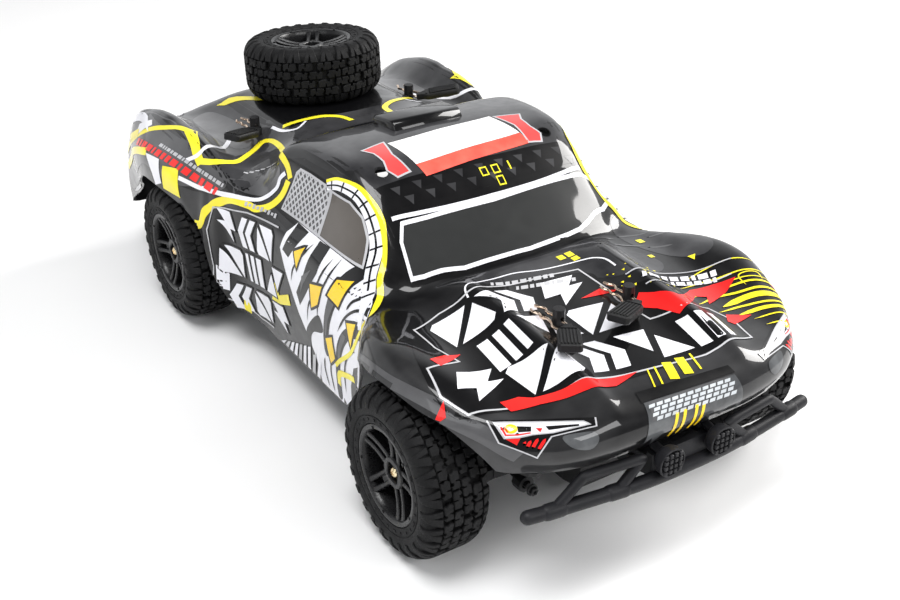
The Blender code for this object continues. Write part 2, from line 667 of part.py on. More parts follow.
def build_mounts():
    place(front_bumper(), "front_bumper", "black_nylon")
    place(body_mount(FRONT_POST, 67.5, CLIP_FRONT_Z, 0.9), "front_body_mount", "black_nylon")
    rear = body_mount(REAR_POST, 84.0, CLIP_REAR_Z, 2.8)
    y = REAR_POST[1]
    legs = [box((s * 11 - 4, s * 11 + 4), (y - 2.5, y + 2.5), (50.6, 85.0)) for s in (-1, 1)]
    place(join(rear, *legs), "rear_body_mount", "black_nylon")


def body_clip(side, post, z):
    """Spring pin: a straight leg through the post, a round bend, a waved return leg and a tab."""
    leg = [(-12.0, 0), (6.0, 0), (8.2, 1.0), (9.2, 3.2), (8.2, 5.4), (6.0, 6.3),
           (3.5, 6.2), (1.0, 4.9), (-3.5, 4.7), (-7.0, 5.8), (-10.0, 6.6)]
    middle = Vector((side * post[0], post[1], z))
    hand = side if post is REAR_POST else -1
    turn = NEAR_TAB_TURN if post is FRONT_POST and side < 0 else TAB_TURN
    wire = bent_rod([middle + Vector((hand * b, -a, 0)) for a, b in leg], CLIP_WIRE, 6)
    start = middle + Vector((hand * 2.0, -8.8, 0.2))
    strap = Vector((hand * math.cos(turn), -math.sin(turn), TAB_RISE)) * TAB_LENGTH
    return join(wire, bent_rod([start, start + strap * 0.5, start + strap], 2.3, 8))


def build_clips():
    for post, z, name in ((FRONT_POST, CLIP_FRONT_Z, "front"), (REAR_POST, CLIP_REAR_Z, "rear")):
        for side, hand in ((1, "left"), (-1, "right")):
            origin = (side * post[0], post[1], z)
            place(body_clip(side, post, z), name + "_" + hand + "_body_clip", "steel", origin)


# ---------------------------------------------------------------- body shell

# Each row crosses the shell at one place along the truck: its y on the centre line, how far its
# outer end is swept back, and nine (x, z) points from the centre line out to the lower edge.
SHELL_ROWS = [
    (-208.5, 22.5, [(0, 68.5), (20, 68.5), (32, 68.5), (42, 68.5), (54.5, 68.5),
                    (67, 68.5), (76, 69), (82.5, 68.5), (87.5, 69)]),
    (-213.5, 26.8, [(0, 77.5), (20, 77.5), (32, 77.5), (42, 77.5), (54.5, 77.5),
                    (67, 77), (78, 77), (85.5, 76), (92, 75.5)]),
    (-211.5, 27.1, [(0, 86.5), (20, 86.5), (32, 86.5), (42, 86.5), (54.5, 85.5),
                    (69, 84), (81, 84), (89.5, 82.5), (96.5, 81)]),
    (-202.5, 22.8, [(0, 91.5), (20, 91.5), (32, 92.5), (40, 93.5), (52.5, 91),
                    (71, 89), (85, 90), (94.5, 88.5), (101, 85.5)]),
    (-188.0, 17.5, [(0, 93.5), (20, 93.5), (32, 95), (40, 97), (52.5, 92.5),
                    (72, 90.5), (88, 92.5), (98.5, 92), (105.5, 87.5)]),
    (-168.0, 11.7, [(0, 95.5), (20, 95.5), (32, 97.5), (40, 100), (52.5, 94.5),
                    (72, 93), (90, 96.5), (101.5, 96), (108.5, 90)]),
    (-145.0, 5.5, [(0, 97.5), (20, 97.5), (32, 99.5), (40, 102), (52.5, 96.5),
                   (73, 95), (92, 99.5), (103.5, 99), (110, 91)]),
    (-125.0, 3.0, [(0, 99), (20, 99), (32, 101), (40, 103.5), (52.5, 98),
                   (73, 95.5), (92, 100), (103.5, 99), (109.5, 89)]),
    (-110.0, 3.0, [(0, 100), (20, 100), (32, 102), (40, 104), (52.5, 98.5),
                   (74, 95.5), (92, 98.5), (101.5, 96.5), (106, 86)]),
    (-97.5, 3.5, [(0, 100.5), (20, 100.5), (33, 102.5), (42, 104), (53.5, 98.5),
                  (74, 95), (90, 96.5), (98, 92), (101, 79.5)]),
    (-88.5, 3.5, [(0, 101), (21, 101), (36, 102), (46, 102), (56.5, 98),
                  (74, 95), (88, 94.5), (94.5, 86), (96, 70.5)]),
    (-82.0, 3.5, [(0, 102), (22, 101.5), (42, 101), (54, 99.5), (64.5, 97),
                  (74, 96), (87.5, 92), (92, 78), (92.5, 59.5)]),
    (-74.5, 3.5, [(0, 109), (23, 108.5), (43, 107.5), (58, 104.5), (66.5, 101),
                  (75, 98.5), (87, 91), (91, 72), (90.5, 46)]),
    (-66.5, 3.5, [(0, 116.5), (23, 116), (43, 115), (60, 112.5), (68.5, 108.5),
                  (77, 103), (87, 90.5), (90.5, 68), (89, 35)]),
    (-56.5, 3.5, [(0, 126), (23, 125.5), (43, 124.5), (60.5, 122.5), (69.5, 115),
                  (79, 105), (87, 91), (90, 62), (87.5, 26.5)]),
    (-47.5, 3.5, [(0, 134), (24, 133.5), (44, 133), (61.5, 130.5), (70.5, 120),
                  (80, 106), (87.5, 91), (90, 60), (87, 24)]),
    (-36.5, 3.5, [(0, 141.5), (24, 141), (45, 140.5), (63, 137.5), (72.5, 122.5),
                  (81, 106.5), (88, 91.5), (90, 60), (87, 24)]),
    (-21.5, 3.5, [(0, 145.5), (24, 145), (47, 145), (66.5, 142.5), (74.5, 123.5),
                  (82, 106.5), (88, 92), (90, 60), (87, 24)]),
    (1.5, 3.5, [(0, 146.5), (25, 146), (48, 145.5), (69.5, 142.5), (76.5, 124),
                (82.5, 106.5), (88, 92), (90, 60), (87, 24)]),
    (23.5, 3.5, [(0, 144), (26, 143.5), (50, 143), (72, 140), (77.5, 123),
                 (83, 106.5), (88.5, 93), (90, 60), (87, 24)]),
    (34.5, 3.5, [(0, 141), (26, 140.5), (51, 140.5), (73, 136.5), (78, 122),
                 (83.5, 106.5), (89, 94), (90, 60), (87, 24)]),
    (43.5, 3.5, [(0, 136.5), (26, 136), (51, 134.5), (69, 129.5), (77, 119),
                 (84, 107), (90, 95.5), (90.5, 62), (87, 24.5)]),
    (58.5, 4.5, [(0, 131), (26, 130.5), (47, 128.5), (60, 123), (71.5, 116.5),
                 (81, 111), (92, 101), (92.5, 66), (89, 25)]),
    (71.5, 3.5, [(0, 129.5), (26, 129.5), (45.5, 126.5), (56, 120.5), (66.5, 115.5),
                 (79, 112.5), (93, 107.5), (94.5, 68), (95, 28.5)]),
    (78.5, 3.0, [(0, 129), (26, 129), (44.5, 125.5), (54.5, 119), (65, 115),
                 (79, 113), (93.5, 111), (99, 74.5), (99.5, 38.5)]),
    (85.0, 2.5, [(0, 129), (26, 129), (43.5, 125.5), (53, 118.5), (63.5, 114.5),
                 (79, 113.5), (94, 114), (100, 81), (102, 48.5)]),
    (89.5, 2.0, [(0, 129), (26, 129), (43.5, 125), (53, 118), (63.5, 114.5),
                 (79, 113.5), (94, 116), (101, 88.5), (103, 61.5)]),
    (96.0, 2.0, [(0, 128.5), (26, 128.5), (43.5, 124.5), (53, 117.5), (63.5, 114),
                 (79, 114), (94.5, 119), (101.5, 96), (103.5, 73)]),
    (105.0, 3.0, [(0, 127.5), (26, 127.5), (43.5, 124), (53, 117.5), (63.5, 114),
                  (79, 114), (95, 121.5), (108, 98.5), (106.5, 81)]),
    (114.5, 4.5, [(0, 127), (26, 127), (43.5, 123.5), (53, 117), (63.5, 113.5),
                  (79, 114.5), (95, 123.5), (110, 103), (110, 85)]),
    (124.5, 4.5, [(0, 126.5), (26, 126.5), (43.5, 123), (53, 116.5), (63.5, 113),
                  (79, 114.5), (95, 124), (111, 105), (113, 88)]),
    (135.5, 4.5, [(0, 125.5), (26, 125.5), (43.5, 122.5), (53, 116), (63.5, 112.5),
                  (79, 114), (95, 124), (111.5, 106), (113.5, 88)]),
    (146.5, 4.5, [(0, 125), (26, 125), (43.5, 122), (53, 115.5), (63.5, 112),
                  (79, 114), (96, 124.5), (111.5, 105.5), (113, 86.5)]),
    (160.5, 4.5, [(0, 124), (26, 124), (43.5, 121.5), (53, 115), (63.5, 111.5),
                  (79, 113), (96.5, 123), (110.5, 102), (111, 80.5)]),
    (175.5, 4.5, [(0, 122), (26, 122), (44, 120), (54, 114), (64.5, 110.5),
                  (79, 110.5), (97, 119), (108.5, 97), (107.5, 71.5)]),
    (191.5, 4.5, [(0, 113), (26, 113), (46, 112.5), (56, 111), (66.5, 108),
                  (79, 106.5), (96.5, 113.5), (105.5, 93), (102, 62.5)]),
    (210.0, 3.0, [(0, 101), (26, 101), (46, 101), (57, 100.5), (68.5, 99.5),
                  (81, 98.5), (95, 103.5), (101.5, 82), (99, 52.5)]),
    (227.0, 3.0, [(0, 88), (26, 88), (46, 88), (57, 88), (68.5, 88),
                  (81, 87), (93.5, 90.5), (98.5, 70), (97, 42.5)]),
    (239.5, 3.0, [(0, 68), (26, 68), (46, 68), (57, 68), (68.5, 68),
                  (81, 67.5), (91.5, 66.5), (96.5, 54), (95.5, 35)]),
    (244.5, 3.0, [(0, 48), (26, 48), (46, 48), (57, 48), (68.5, 48),
                  (81, 47.5), (90.5, 46.5), (94.5, 40), (94.5, 31.5)]),
    (243.5, 3.0, [(0, 32), (26, 32), (46, 32), (57, 32), (68.5, 32),
                  (81, 31.5), (89, 31), (92.5, 31), (93.5, 31)]),
]


def shell_row_points(row):
    y, sweep, section = row
    return [Vector((x, y + sweep * (x / SWEEP_HALF_WIDTH) ** 4, z)) for x, z in section]


def curve_between(p0, p1, p2, p3, t):
    """Catmull-Rom curve from p1 to p2."""
    return 0.5 * (2 * p1 + (p2 - p0) * t + (2 * p0 - 5 * p1 + 4 * p2 - p3) * t ** 2
                  + (3 * p1 - p0 - 3 * p2 + p3) * t ** 3)


def refined(points, steps):
    """Points along a smooth curve through the given ones."""
    fine = []
    for i in range(len(points) - 1):
        p0 = points[max(i - 1, 0)]
        p3 = points[min(i + 2, len(points) - 1)]
        fine += [curve_between(p0, points[i], points[i + 1], p3, k / steps) for k in range(steps)]
    return fine + [points[-1]]


def shell_grid(steps_along, steps_across):
    """Right-hand half of the shell as rows of points, refined both ways."""
    rows = [refined(shell_row_points(row), steps_across) for row in SHELL_ROWS]
    columns = [refined([row[j] for row in rows], steps_along) for j in range(len(rows[0]))]
    return [[column[i] for column in columns] for i in range(len(columns[0]))]


def shell_height(x, y):
    """Height of the shell's outer surface over a point, from the grid's nearest cells."""
    best = None
    for row in shell_grid(6, 6):
        for point in row:
            if point.z > 60:
                away = math.hypot(point.x - x, point.y - y)
                if best is None or away < best[0]:
                    best = (away, point.z)
    return best[1]


def shell_solid():
    grid = shell_grid(1, 1)
    bm = bmesh.new()
    rows = []
    for half in grid:
        left = [bm.verts.new((-p.x, p.y, p.z)) for p in reversed(half[1:])]
        rows.append(left + [bm.verts.new(p) for p in half])
    for near, far in zip(rows, rows[1:]):
        for j in range(len(near) - 1):
            bm.faces.new((near[j], near[j + 1], far[j + 1], far[j]))
    mesh = bpy.data.meshes.new("shell")
    bm.to_mesh(mesh)
    bm.free()
    shell = bpy.data.objects.new("shell", mesh)
    bpy.context.scene.collection.objects.link(shell)
    wall = shell.modifiers.new("wall", "SOLIDIFY")
    wall.thickness = SHELL_WALL
    wall.offset = -1.0
    wall.use_even_offset = False
    depsgraph = bpy.context.evaluated_depsgraph_get()
    shell.data = bpy.data.meshes.new_from_object(shell.evaluated_get(depsgraph))
    shell.modifiers.clear()
    return shell


def body_shell():
    shell = shell_solid()
    scoop = prism([(4, 143.5), (27, 142.0), (29, 148.0), (8, 150.5)], "x", -22.0, 22.0)
    shell = join(shell, scoop)
    for side in (-1, 1):
        for (x, y), radius in ((FRONT_POST, POST_HOLE_RADIUS), (REAR_POST, POST_HOLE_RADIUS),
                               (ROOF_HOLE, ROOF_HOLE_RADIUS)):
            shell = cut(shell, rod((side * x, y, 80), (side * x, y, 160), radius, 10))
    return shell


# ---------------------------------------------------------------- build

def main():
    for item in list(bpy.data.objects):
        bpy.data.objects.remove(item)
    truck = bpy.data.objects.new("truck", None)
    truck.location = (0.0, FRAME_SHIFT_Y * MM, 0.0)
    bpy.context.scene.collection.objects.link(truck)
    build_frame()
    build_driveline()
    build_suspension()
    build_steering()
    build_wheels()
    build_mounts()
    build_clips()
    place(body_shell(), "body_shell", "shell")
    build_spare()
    bpy.context.view_layer.update()


main()
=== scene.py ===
"""Looks of the radio-controlled short-course truck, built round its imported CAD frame.

Shapes are drawn in millimetres in the truck's own frame: the origin is midway between the axles on
the floor, the truck faces -Y and its left side is +X.  Each finished mesh is moved into the row
frame, in metres, when its object is made.  The printed film on the shell is real geometry: flat
outlines are cut into small triangles, laid on the shell by straight projection, and lifted a
little higher for each layer.
"""
import json
import math
import random

import bmesh
import bpy
import numpy as np
from mathutils import Matrix, Vector
from mathutils.bvhtree import BVHTree
from mathutils.geometry import delaunay_2d_cdt
from mathutils.interpolate import poly_3d_calc


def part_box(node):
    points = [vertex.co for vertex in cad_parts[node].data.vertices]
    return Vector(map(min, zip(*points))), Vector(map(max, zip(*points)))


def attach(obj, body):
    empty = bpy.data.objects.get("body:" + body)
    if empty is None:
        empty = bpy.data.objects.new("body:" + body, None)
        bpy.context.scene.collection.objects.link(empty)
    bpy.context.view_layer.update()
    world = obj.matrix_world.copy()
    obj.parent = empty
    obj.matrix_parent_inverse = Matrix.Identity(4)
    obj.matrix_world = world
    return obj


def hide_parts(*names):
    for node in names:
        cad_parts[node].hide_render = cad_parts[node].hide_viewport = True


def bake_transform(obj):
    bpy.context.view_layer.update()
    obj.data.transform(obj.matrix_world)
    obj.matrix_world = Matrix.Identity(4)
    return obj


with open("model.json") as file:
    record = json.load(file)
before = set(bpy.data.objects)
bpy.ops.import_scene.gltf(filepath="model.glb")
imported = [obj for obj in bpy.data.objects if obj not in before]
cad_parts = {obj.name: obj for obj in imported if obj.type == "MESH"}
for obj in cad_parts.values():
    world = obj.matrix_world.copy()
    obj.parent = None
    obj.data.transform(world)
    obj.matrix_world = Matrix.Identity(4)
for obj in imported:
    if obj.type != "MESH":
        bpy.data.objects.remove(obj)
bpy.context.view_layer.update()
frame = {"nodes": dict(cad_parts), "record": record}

MM = 0.001


def node_middle(node):
    """Middle of a CAD node's box, in the row frame."""
    low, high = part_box(node)
    return (low + high) / 2


# Driving dimensions, taken from the CAD frame, in millimetres.
FRONT_WHEEL = node_middle("front_left_tyre") / MM
REAR_WHEEL = node_middle("rear_left_tyre") / MM
SHIFT_Y = (FRONT_WHEEL.y + REAR_WHEEL.y) / 2
AXLE_Y = (REAR_WHEEL.y - FRONT_WHEEL.y) / 2
WHEEL_X = FRONT_WHEEL.x
TYRE_RADIUS = FRONT_WHEEL.z
TO_ROW_FRAME = Matrix.Translation((0, SHIFT_Y * MM, 0)) @ Matrix.Scale(MM, 4)

# Sizes of the looks, in millimetres.
TREAD_DEPTH = 2.6
TREAD_PITCHES = 26
SPOKES = 5
SHELL_WALL = 1.2
SWEEP_HALF_WIDTH = 90.0
FRONT_POST = (21.0, -142.5)
REAR_POST = (54.0, 117.5)
ROOF_HOLE = (51.0, -31.5)
POST_HOLE_RADIUS = 3.7
ROOF_HOLE_RADIUS = 3.4
HOLES = [(FRONT_POST, POST_HOLE_RADIUS), (REAR_POST, POST_HOLE_RADIUS),
         (ROOF_HOLE, ROOF_HOLE_RADIUS)]
SHOCK_EYE = (50.0, 28.3)
CLIP_WIRE = 0.75
TAB_TURN = math.radians(28.0)
NEAR_TAB_TURN = math.radians(55.0)
TAB_RISE = 0.17
HOLE_SIDES = 28
FILM_LIFT = 0.09          # lowest layer above the skin
FILM_STEP = 0.075         # one layer above another
FILM_GRID = 2.8           # points inside an area
FILM_EDGE = 1.6           # points along an outline
FILM_STRIP = 2.4          # widest quad across a stripe
FILM_GAP = 0.4            # bare edge round a hole
LONGEST_FILM_EDGE = 14.0  # a longer face would bridge a fold of the skin
GRAZING = 0.16            # cosine below which the skin is edge-on to a drawing plane
CAST_FROM = 300.0
SLANT_CAST = 200.0
LAMP_LEVEL = 90.0
RAIL_LEVEL = 110.0


# ---------------------------------------------------------------- materials

def add_node(tree, kind, **settings):
    """A new shader node with its own settings."""
    node = tree.nodes.new(kind)
    for name, value in settings.items():
        setattr(node, name, value)
    return node


def noise_node(tree, scale, detail=3.0, stretch=(1.0, 1.0, 1.0)):
    """Noise in the piece's own metres, with its pattern stretched where asked."""
    place = add_node(tree, "ShaderNodeTexCoord")
    mapping = add_node(tree, "ShaderNodeMapping")
    mapping.inputs["Scale"].default_value = stretch
    noise = add_node(tree, "ShaderNodeTexNoise")
    noise.inputs["Scale"].default_value = scale
    noise.inputs["Detail"].default_value = detail
    tree.links.new(place.outputs["Object"], mapping.inputs["Vector"])
    tree.links.new(mapping.outputs["Vector"], noise.inputs["Vector"])
    return noise.outputs["Fac"]


def spread(tree, source, low, high, start=0.3, stop=0.7):
    """Maps a value to a range, for a roughness or a mask."""
    node = add_node(tree, "ShaderNodeMapRange")
    for name, value in (("From Min", start), ("From Max", stop), ("To Min", low), ("To Max", high)):
        node.inputs[name].default_value = value
    tree.links.new(source, node.inputs["Value"])
    return node.outputs["Result"]


def tint(tree, mask, first, second):
    """A colour between two, by a mask."""
    node = add_node(tree, "ShaderNodeMix", data_type="RGBA")
    node.inputs["A"].default_value = (*first, 1.0)
    node.inputs["B"].default_value = (*second, 1.0)
    tree.links.new(mask, node.inputs["Factor"])
    return node.outputs["Result"]


def surface(name, first, second, roughness, patches=40.0, grain=900.0, depth=0.12, reach=0.0002,
            stretch=(1.0, 1.0, 1.0), **shader):
    """A finish with mottled colour, uneven roughness and a fine grain, all from noise."""
    material = bpy.data.materials.new(name)
    material.use_nodes = True
    tree = material.node_tree
    principled = tree.nodes["Principled BSDF"]
    blotches = noise_node(tree, patches, 5.0, stretch)
    fine = noise_node(tree, grain, 3.0, stretch)
    tree.links.new(tint(tree, spread(tree, blotches, 0.0, 1.0), first, second),
                   principled.inputs["Base Color"])
    tree.links.new(spread(tree, fine, roughness[0], roughness[1]), principled.inputs["Roughness"])
    bump = add_node(tree, "ShaderNodeBump")
    bump.inputs["Strength"].default_value = depth
    bump.inputs["Distance"].default_value = reach
    tree.links.new(fine, bump.inputs["Height"])
    tree.links.new(bump.outputs["Normal"], principled.inputs["Normal"])
    for socket, value in shader.items():
        principled.inputs[socket.replace("_", " ")].default_value = value
    return material


def film(name, first, second, patches=30.0):
    """Ink under a clear glossy skin, as on a printed polycarbonate shell."""
    return surface(name, first, second, (0.3, 0.42), patches=patches, grain=160.0, depth=0.05,
                   reach=0.0001, Coat_Weight=0.75, Coat_Roughness=0.035, Coat_IOR=1.45,
                   Specular_IOR_Level=0.08)


def smoky_film(name, black, smoke):
    """The shell's own skin: black, with soft drifts of smoke grey on the hood, roof and bed."""
    material = film(name, black, black)
    tree = material.node_tree
    principled = tree.nodes["Principled BSDF"]
    drift = noise_node(tree, 14.0, 4.0, (1.0, 0.55, 1.0))
    wisps = noise_node(tree, 55.0, 6.0, (0.35, 1.0, 1.0))
    blend = add_node(tree, "ShaderNodeMath", operation="MULTIPLY")
    tree.links.new(spread(tree, drift, 0.0, 1.0, 0.42, 0.66), blend.inputs[0])
    tree.links.new(spread(tree, wisps, 0.35, 1.0, 0.35, 0.65), blend.inputs[1])
    tree.links.new(tint(tree, blend.outputs["Value"], black, smoke),
                   principled.inputs["Base Color"])
    return material


FILMS = {
    "shell": smoky_film("shell_film", (0.003, 0.003, 0.0035), (0.05, 0.05, 0.052)),
    "black": film("black_film", (0.0025, 0.0025, 0.003), (0.005, 0.005, 0.0055)),
    "smoke": film("smoke_film", (0.016, 0.016, 0.018), (0.055, 0.055, 0.058), 45.0),
    "grey": film("grey_film", (0.06, 0.06, 0.063), (0.11, 0.11, 0.114), 38.0),
    "glass": film("windscreen_film", (0.022, 0.023, 0.023), (0.034, 0.035, 0.035), 12.0),
    "window": film("window_film", (0.085, 0.075, 0.066), (0.13, 0.118, 0.108), 18.0),
    "silver": film("silver_film", (0.42, 0.42, 0.44), (0.56, 0.56, 0.58), 30.0),
    "white": film("white_film", (0.78, 0.78, 0.83), (0.88, 0.88, 0.92), 25.0),
    "yellow": film("yellow_film", (0.86, 0.72, 0.02), (0.95, 0.86, 0.05), 25.0),
    "amber": film("amber_film", (0.93, 0.58, 0.01), (0.98, 0.7, 0.02), 40.0),
    "red": film("red_film", (0.78, 0.012, 0.012), (0.9, 0.03, 0.025), 25.0),
    "rose": film("roof_red_film", (0.62, 0.05, 0.05), (0.78, 0.085, 0.08), 25.0),
    "milk": film("milky_film", (0.42, 0.45, 0.47), (0.66, 0.69, 0.72), 60.0),
    # Dark grey film. Where it is laid as the oval below each lamp, its grey is a painted highlight
    # on a dark panel.
    "lens": film("lens_film", (0.035, 0.037, 0.04), (0.11, 0.115, 0.12), 90.0),
    "label": surface("label_paper", (0.84, 0.83, 0.82), (0.92, 0.91, 0.9), (0.38, 0.55),
                     patches=120.0, grain=2600.0, depth=0.1, reach=0.00005),
    "label_red": surface("label_ink", (0.85, 0.07, 0.045), (0.93, 0.12, 0.08), (0.38, 0.55),
                         patches=120.0, grain=2600.0, depth=0.1, reach=0.00005),
}

RUBBER = surface("tyre_rubber", (0.004, 0.004, 0.0045), (0.011, 0.011, 0.0115), (0.5, 0.8),
                 patches=110.0, grain=1500.0, depth=0.35, reach=0.0002, Specular_IOR_Level=0.18)
RIM_PLASTIC = surface("rim_plastic", (0.004, 0.004, 0.0045), (0.009, 0.009, 0.01), (0.22, 0.42),
                      patches=60.0, grain=1100.0, depth=0.12, Specular_IOR_Level=0.35)
CHARCOAL = surface("bumper_plastic", (0.006, 0.006, 0.0075), (0.014, 0.014, 0.0165), (0.4, 0.6),
                   patches=80.0, grain=2200.0, depth=0.3, reach=0.00015, Specular_IOR_Level=0.25)
NYLON = surface("black_nylon", (0.006, 0.006, 0.007), (0.013, 0.013, 0.014), (0.4, 0.6),
                patches=90.0, grain=1800.0, depth=0.25, reach=0.00015, Specular_IOR_Level=0.4)
TAB_RUBBER = surface("tab_rubber", (0.002, 0.002, 0.0025), (0.006, 0.006, 0.0065), (0.45, 0.65),
                     patches=200.0, grain=2500.0, depth=0.25, Specular_IOR_Level=0.35)
STEEL = surface("ground_steel", (0.46, 0.45, 0.43), (0.6, 0.59, 0.57), (0.22, 0.38), patches=150.0,
                grain=2400.0, depth=0.1, stretch=(1.0, 0.15, 1.0), Metallic=1.0)
CLIP_STEEL = surface("clip_wire", (0.6, 0.42, 0.3), (0.82, 0.68, 0.55), (0.12, 0.24), patches=300.0,
                     grain=2400.0, depth=0.05, Metallic=1.0)
BRASS = surface("screw_brass", (0.78, 0.6, 0.34), (0.88, 0.75, 0.5), (0.18, 0.34), patches=260.0,
                grain=2600.0, depth=0.1, Metallic=1.0)
ALUMINIUM = surface("turned_aluminium", (0.5, 0.5, 0.52), (0.64, 0.64, 0.66), (0.25, 0.4),
                    patches=140.0, grain=1800.0, depth=0.12, stretch=(1.0, 1.0, 0.2), Metallic=1.0)
MOTOR_STEEL = surface("motor_can", (0.36, 0.36, 0.37), (0.5, 0.5, 0.51), (0.28, 0.42), patches=90.0,
                      grain=1500.0, depth=0.12, stretch=(0.2, 1.0, 1.0), Metallic=1.0)
BATTERY_WRAP = surface("battery_wrap", (0.012, 0.04, 0.24), (0.02, 0.065, 0.34), (0.22, 0.42),
                       patches=45.0, grain=240.0, depth=0.25, reach=0.0005)
CONTROLLER_CASE = surface("controller_case", (0.012, 0.035, 0.2), (0.02, 0.055, 0.28), (0.35, 0.5),
                          patches=70.0, grain=1800.0, depth=0.2)
SERVO_CASE = surface("servo_case", (0.01, 0.01, 0.011), (0.02, 0.02, 0.022), (0.3, 0.45),
                     patches=80.0, grain=2000.0, depth=0.2)
GEAR_NYLON = surface("gear_nylon", (0.62, 0.61, 0.56), (0.74, 0.73, 0.68), (0.4, 0.55),
                     patches=120.0, grain=1600.0, depth=0.15)

SLOT_FINISHES = {
    "shell": FILMS["shell"], "tyre": RUBBER, "rim": RIM_PLASTIC, "nylon": NYLON, "bumper": CHARCOAL,
    "steel": STEEL, "motor": MOTOR_STEEL, "brass": BRASS, "shock": ALUMINIUM,
    "battery": BATTERY_WRAP, "controller": CONTROLLER_CASE, "servo": SERVO_CASE, "gear": GEAR_NYLON,
}


# ---------------------------------------------------------------- mesh helpers

def make_piece(name, vertices, faces, material, sharp=35.0, normals=None):
    """A mesh object in the row frame from points in truck millimetres."""
    mesh = bpy.data.meshes.new(name)
    mesh.from_pydata([tuple(v) for v in vertices], [], faces)
    mesh.validate()
    bm = bmesh.new()
    bm.from_mesh(mesh)
    if normals is None:
        bmesh.ops.recalc_face_normals(bm, faces=bm.faces)
    bm.to_mesh(mesh)
    bm.free()
    mesh.transform(TO_ROW_FRAME)
    mesh.materials.append(material)
    mesh.shade_smooth()
    if normals is None:
        mesh.set_sharp_from_angle(angle=math.radians(sharp))
    else:
        mesh.normals_split_custom_set_from_vertices([tuple(n) for n in normals])
    piece = bpy.data.objects.new(name, mesh)
    bpy.context.scene.collection.objects.link(piece)
    return piece


class Solid:
    """Vertices and faces gathered from several closed shapes."""

    def __init__(self):
        self.vertices = []
        self.faces = []

    def add(self, vertices, faces):
        start = len(self.vertices)
        self.vertices += [Vector(v) for v in vertices]
        self.faces += [[start + i for i in face] for face in faces]

    def skin(self, rings, capped=True):
        """Skins equal rings of points, from the first to the last."""
        count = len(rings[0])
        faces = []
        for i in range(len(rings) - 1):
            near, far = i * count, (i + 1) * count
            faces += [[near + j, near + (j + 1) % count, far + (j + 1) % count, far + j]
                      for j in range(count)]
        if capped:
            faces += [list(range(count))[::-1],
                      [(len(rings) - 1) * count + j for j in range(count)]]
        self.add([p for ring in rings for p in ring], faces)

    def turn(self, profile, sides, closed=True):
        """Turns (along, radius) points about the X axis; the profile is a closed loop if closed."""
        rings = [[Vector((a, r * math.cos(t), r * math.sin(t))) for a, r in profile]
                 for t in (2 * math.pi * i / sides for i in range(sides))]
        count = len(profile)
        faces = []
        for i in range(sides):
            near, far = i * count, (i + 1) % sides * count
            last = count if closed else count - 1
            faces += [[near + j, near + (j + 1) % count, far + (j + 1) % count, far + j]
                      for j in range(last)]
        self.add([p for ring in rings for p in ring], faces)

    def block(self, outline, to_point, levels):
        """Stacks a flat outline at several levels, each given as (height, inset of the outline)."""
        centre = sum((Vector(p) for p in outline), Vector((0, 0))) / len(outline)
        rings = []
        for height, inset in levels:
            ring = []
            for p in outline:
                away = Vector(p) - centre
                scale = max(0.0, 1 - inset / max(away.length, 1e-6))
                ring.append(to_point(*(centre + away * scale), height))
            rings.append(ring)
        self.skin(rings)

    def tube(self, path, radius, sides=14):
        """A round bar along a path, with domed ends."""
        points = [Vector(p) for p in path]
        dome = [(math.sqrt(1 - c * c), max(c, 0.08)) for c in (0.0, 0.38, 0.71, 0.92)]
        rings = []
        side = None
        for i, point in enumerate(points):
            along = (points[min(i + 1, len(points) - 1)] - points[max(i - 1, 0)]).normalized()
            side = along.orthogonal() if side is None else side - along * side.dot(along)
            side.normalize()
            up = along.cross(side)

            def ring(middle, reach):
                return [middle + (side * math.cos(t) + up * math.sin(t)) * reach
                        for t in (2 * math.pi * j / sides for j in range(sides))]

            if i == 0:
                rings += [ring(point - along * radius * a, radius * r) for a, r in dome]
            rings.append(ring(point, radius))
            if i == len(points) - 1:
                rings += [ring(point + along * radius * a, radius * r) for a, r in reversed(dome)]
        self.skin(rings)

    def moved(self, matrix):
        """A copy of this solid moved by a matrix."""
        copy = Solid()
        flip = matrix.determinant() < 0
        copy.add([matrix @ v for v in self.vertices], [f[::-1] if flip else f for f in self.faces])
        return copy

    def piece(self, name, material, slot=None, sharp=35.0):
        return make_piece(name, self.vertices, self.faces, material, sharp)


def circle(x, y, radius, count):
    """Flat points round a circle."""
    return [(x + radius * math.cos(t), y + radius * math.sin(t))
            for t in (2 * math.pi * i / count for i in range(count))]


def curve_between(p0, p1, p2, p3, t):
    """Catmull-Rom curve from p1 to p2."""
    return 0.5 * (2 * p1 + (p2 - p0) * t + (2 * p0 - 5 * p1 + 4 * p2 - p3) * t ** 2
                  + (3 * p1 - p0 - 3 * p2 + p3) * t ** 3)


def refined(points, steps, closed=False):
    """Points along a smooth curve through the given ones."""
    count = len(points)
    fine = []
    for i in range(count if closed else count - 1):
        if closed:
            p0, p1, p2, p3 = (points[(i + k) % count] for k in (-1, 0, 1, 2))
        else:
            p0, p1, p2, p3 = (points[min(max(i + k, 0), count - 1)] for k in (-1, 0, 1, 2))
        fine += [curve_between(p0, p1, p2, p3, k / steps) for k in range(steps)]
    return fine if closed else fine + [points[-1]]


def cut(piece, cutter):
    """Cuts one object with another, and uses the second one up."""
    modifier = piece.modifiers.new("cut", "BOOLEAN")
    modifier.operation = "DIFFERENCE"
    modifier.solver = "EXACT"
    modifier.object = cutter
    depsgraph = bpy.context.evaluated_depsgraph_get()
    mesh = bpy.data.meshes.new_from_object(piece.evaluated_get(depsgraph))
    piece.modifiers.clear()
    piece.data = mesh
    bpy.data.objects.remove(cutter)


# ---------------------------------------------------------------- body shell

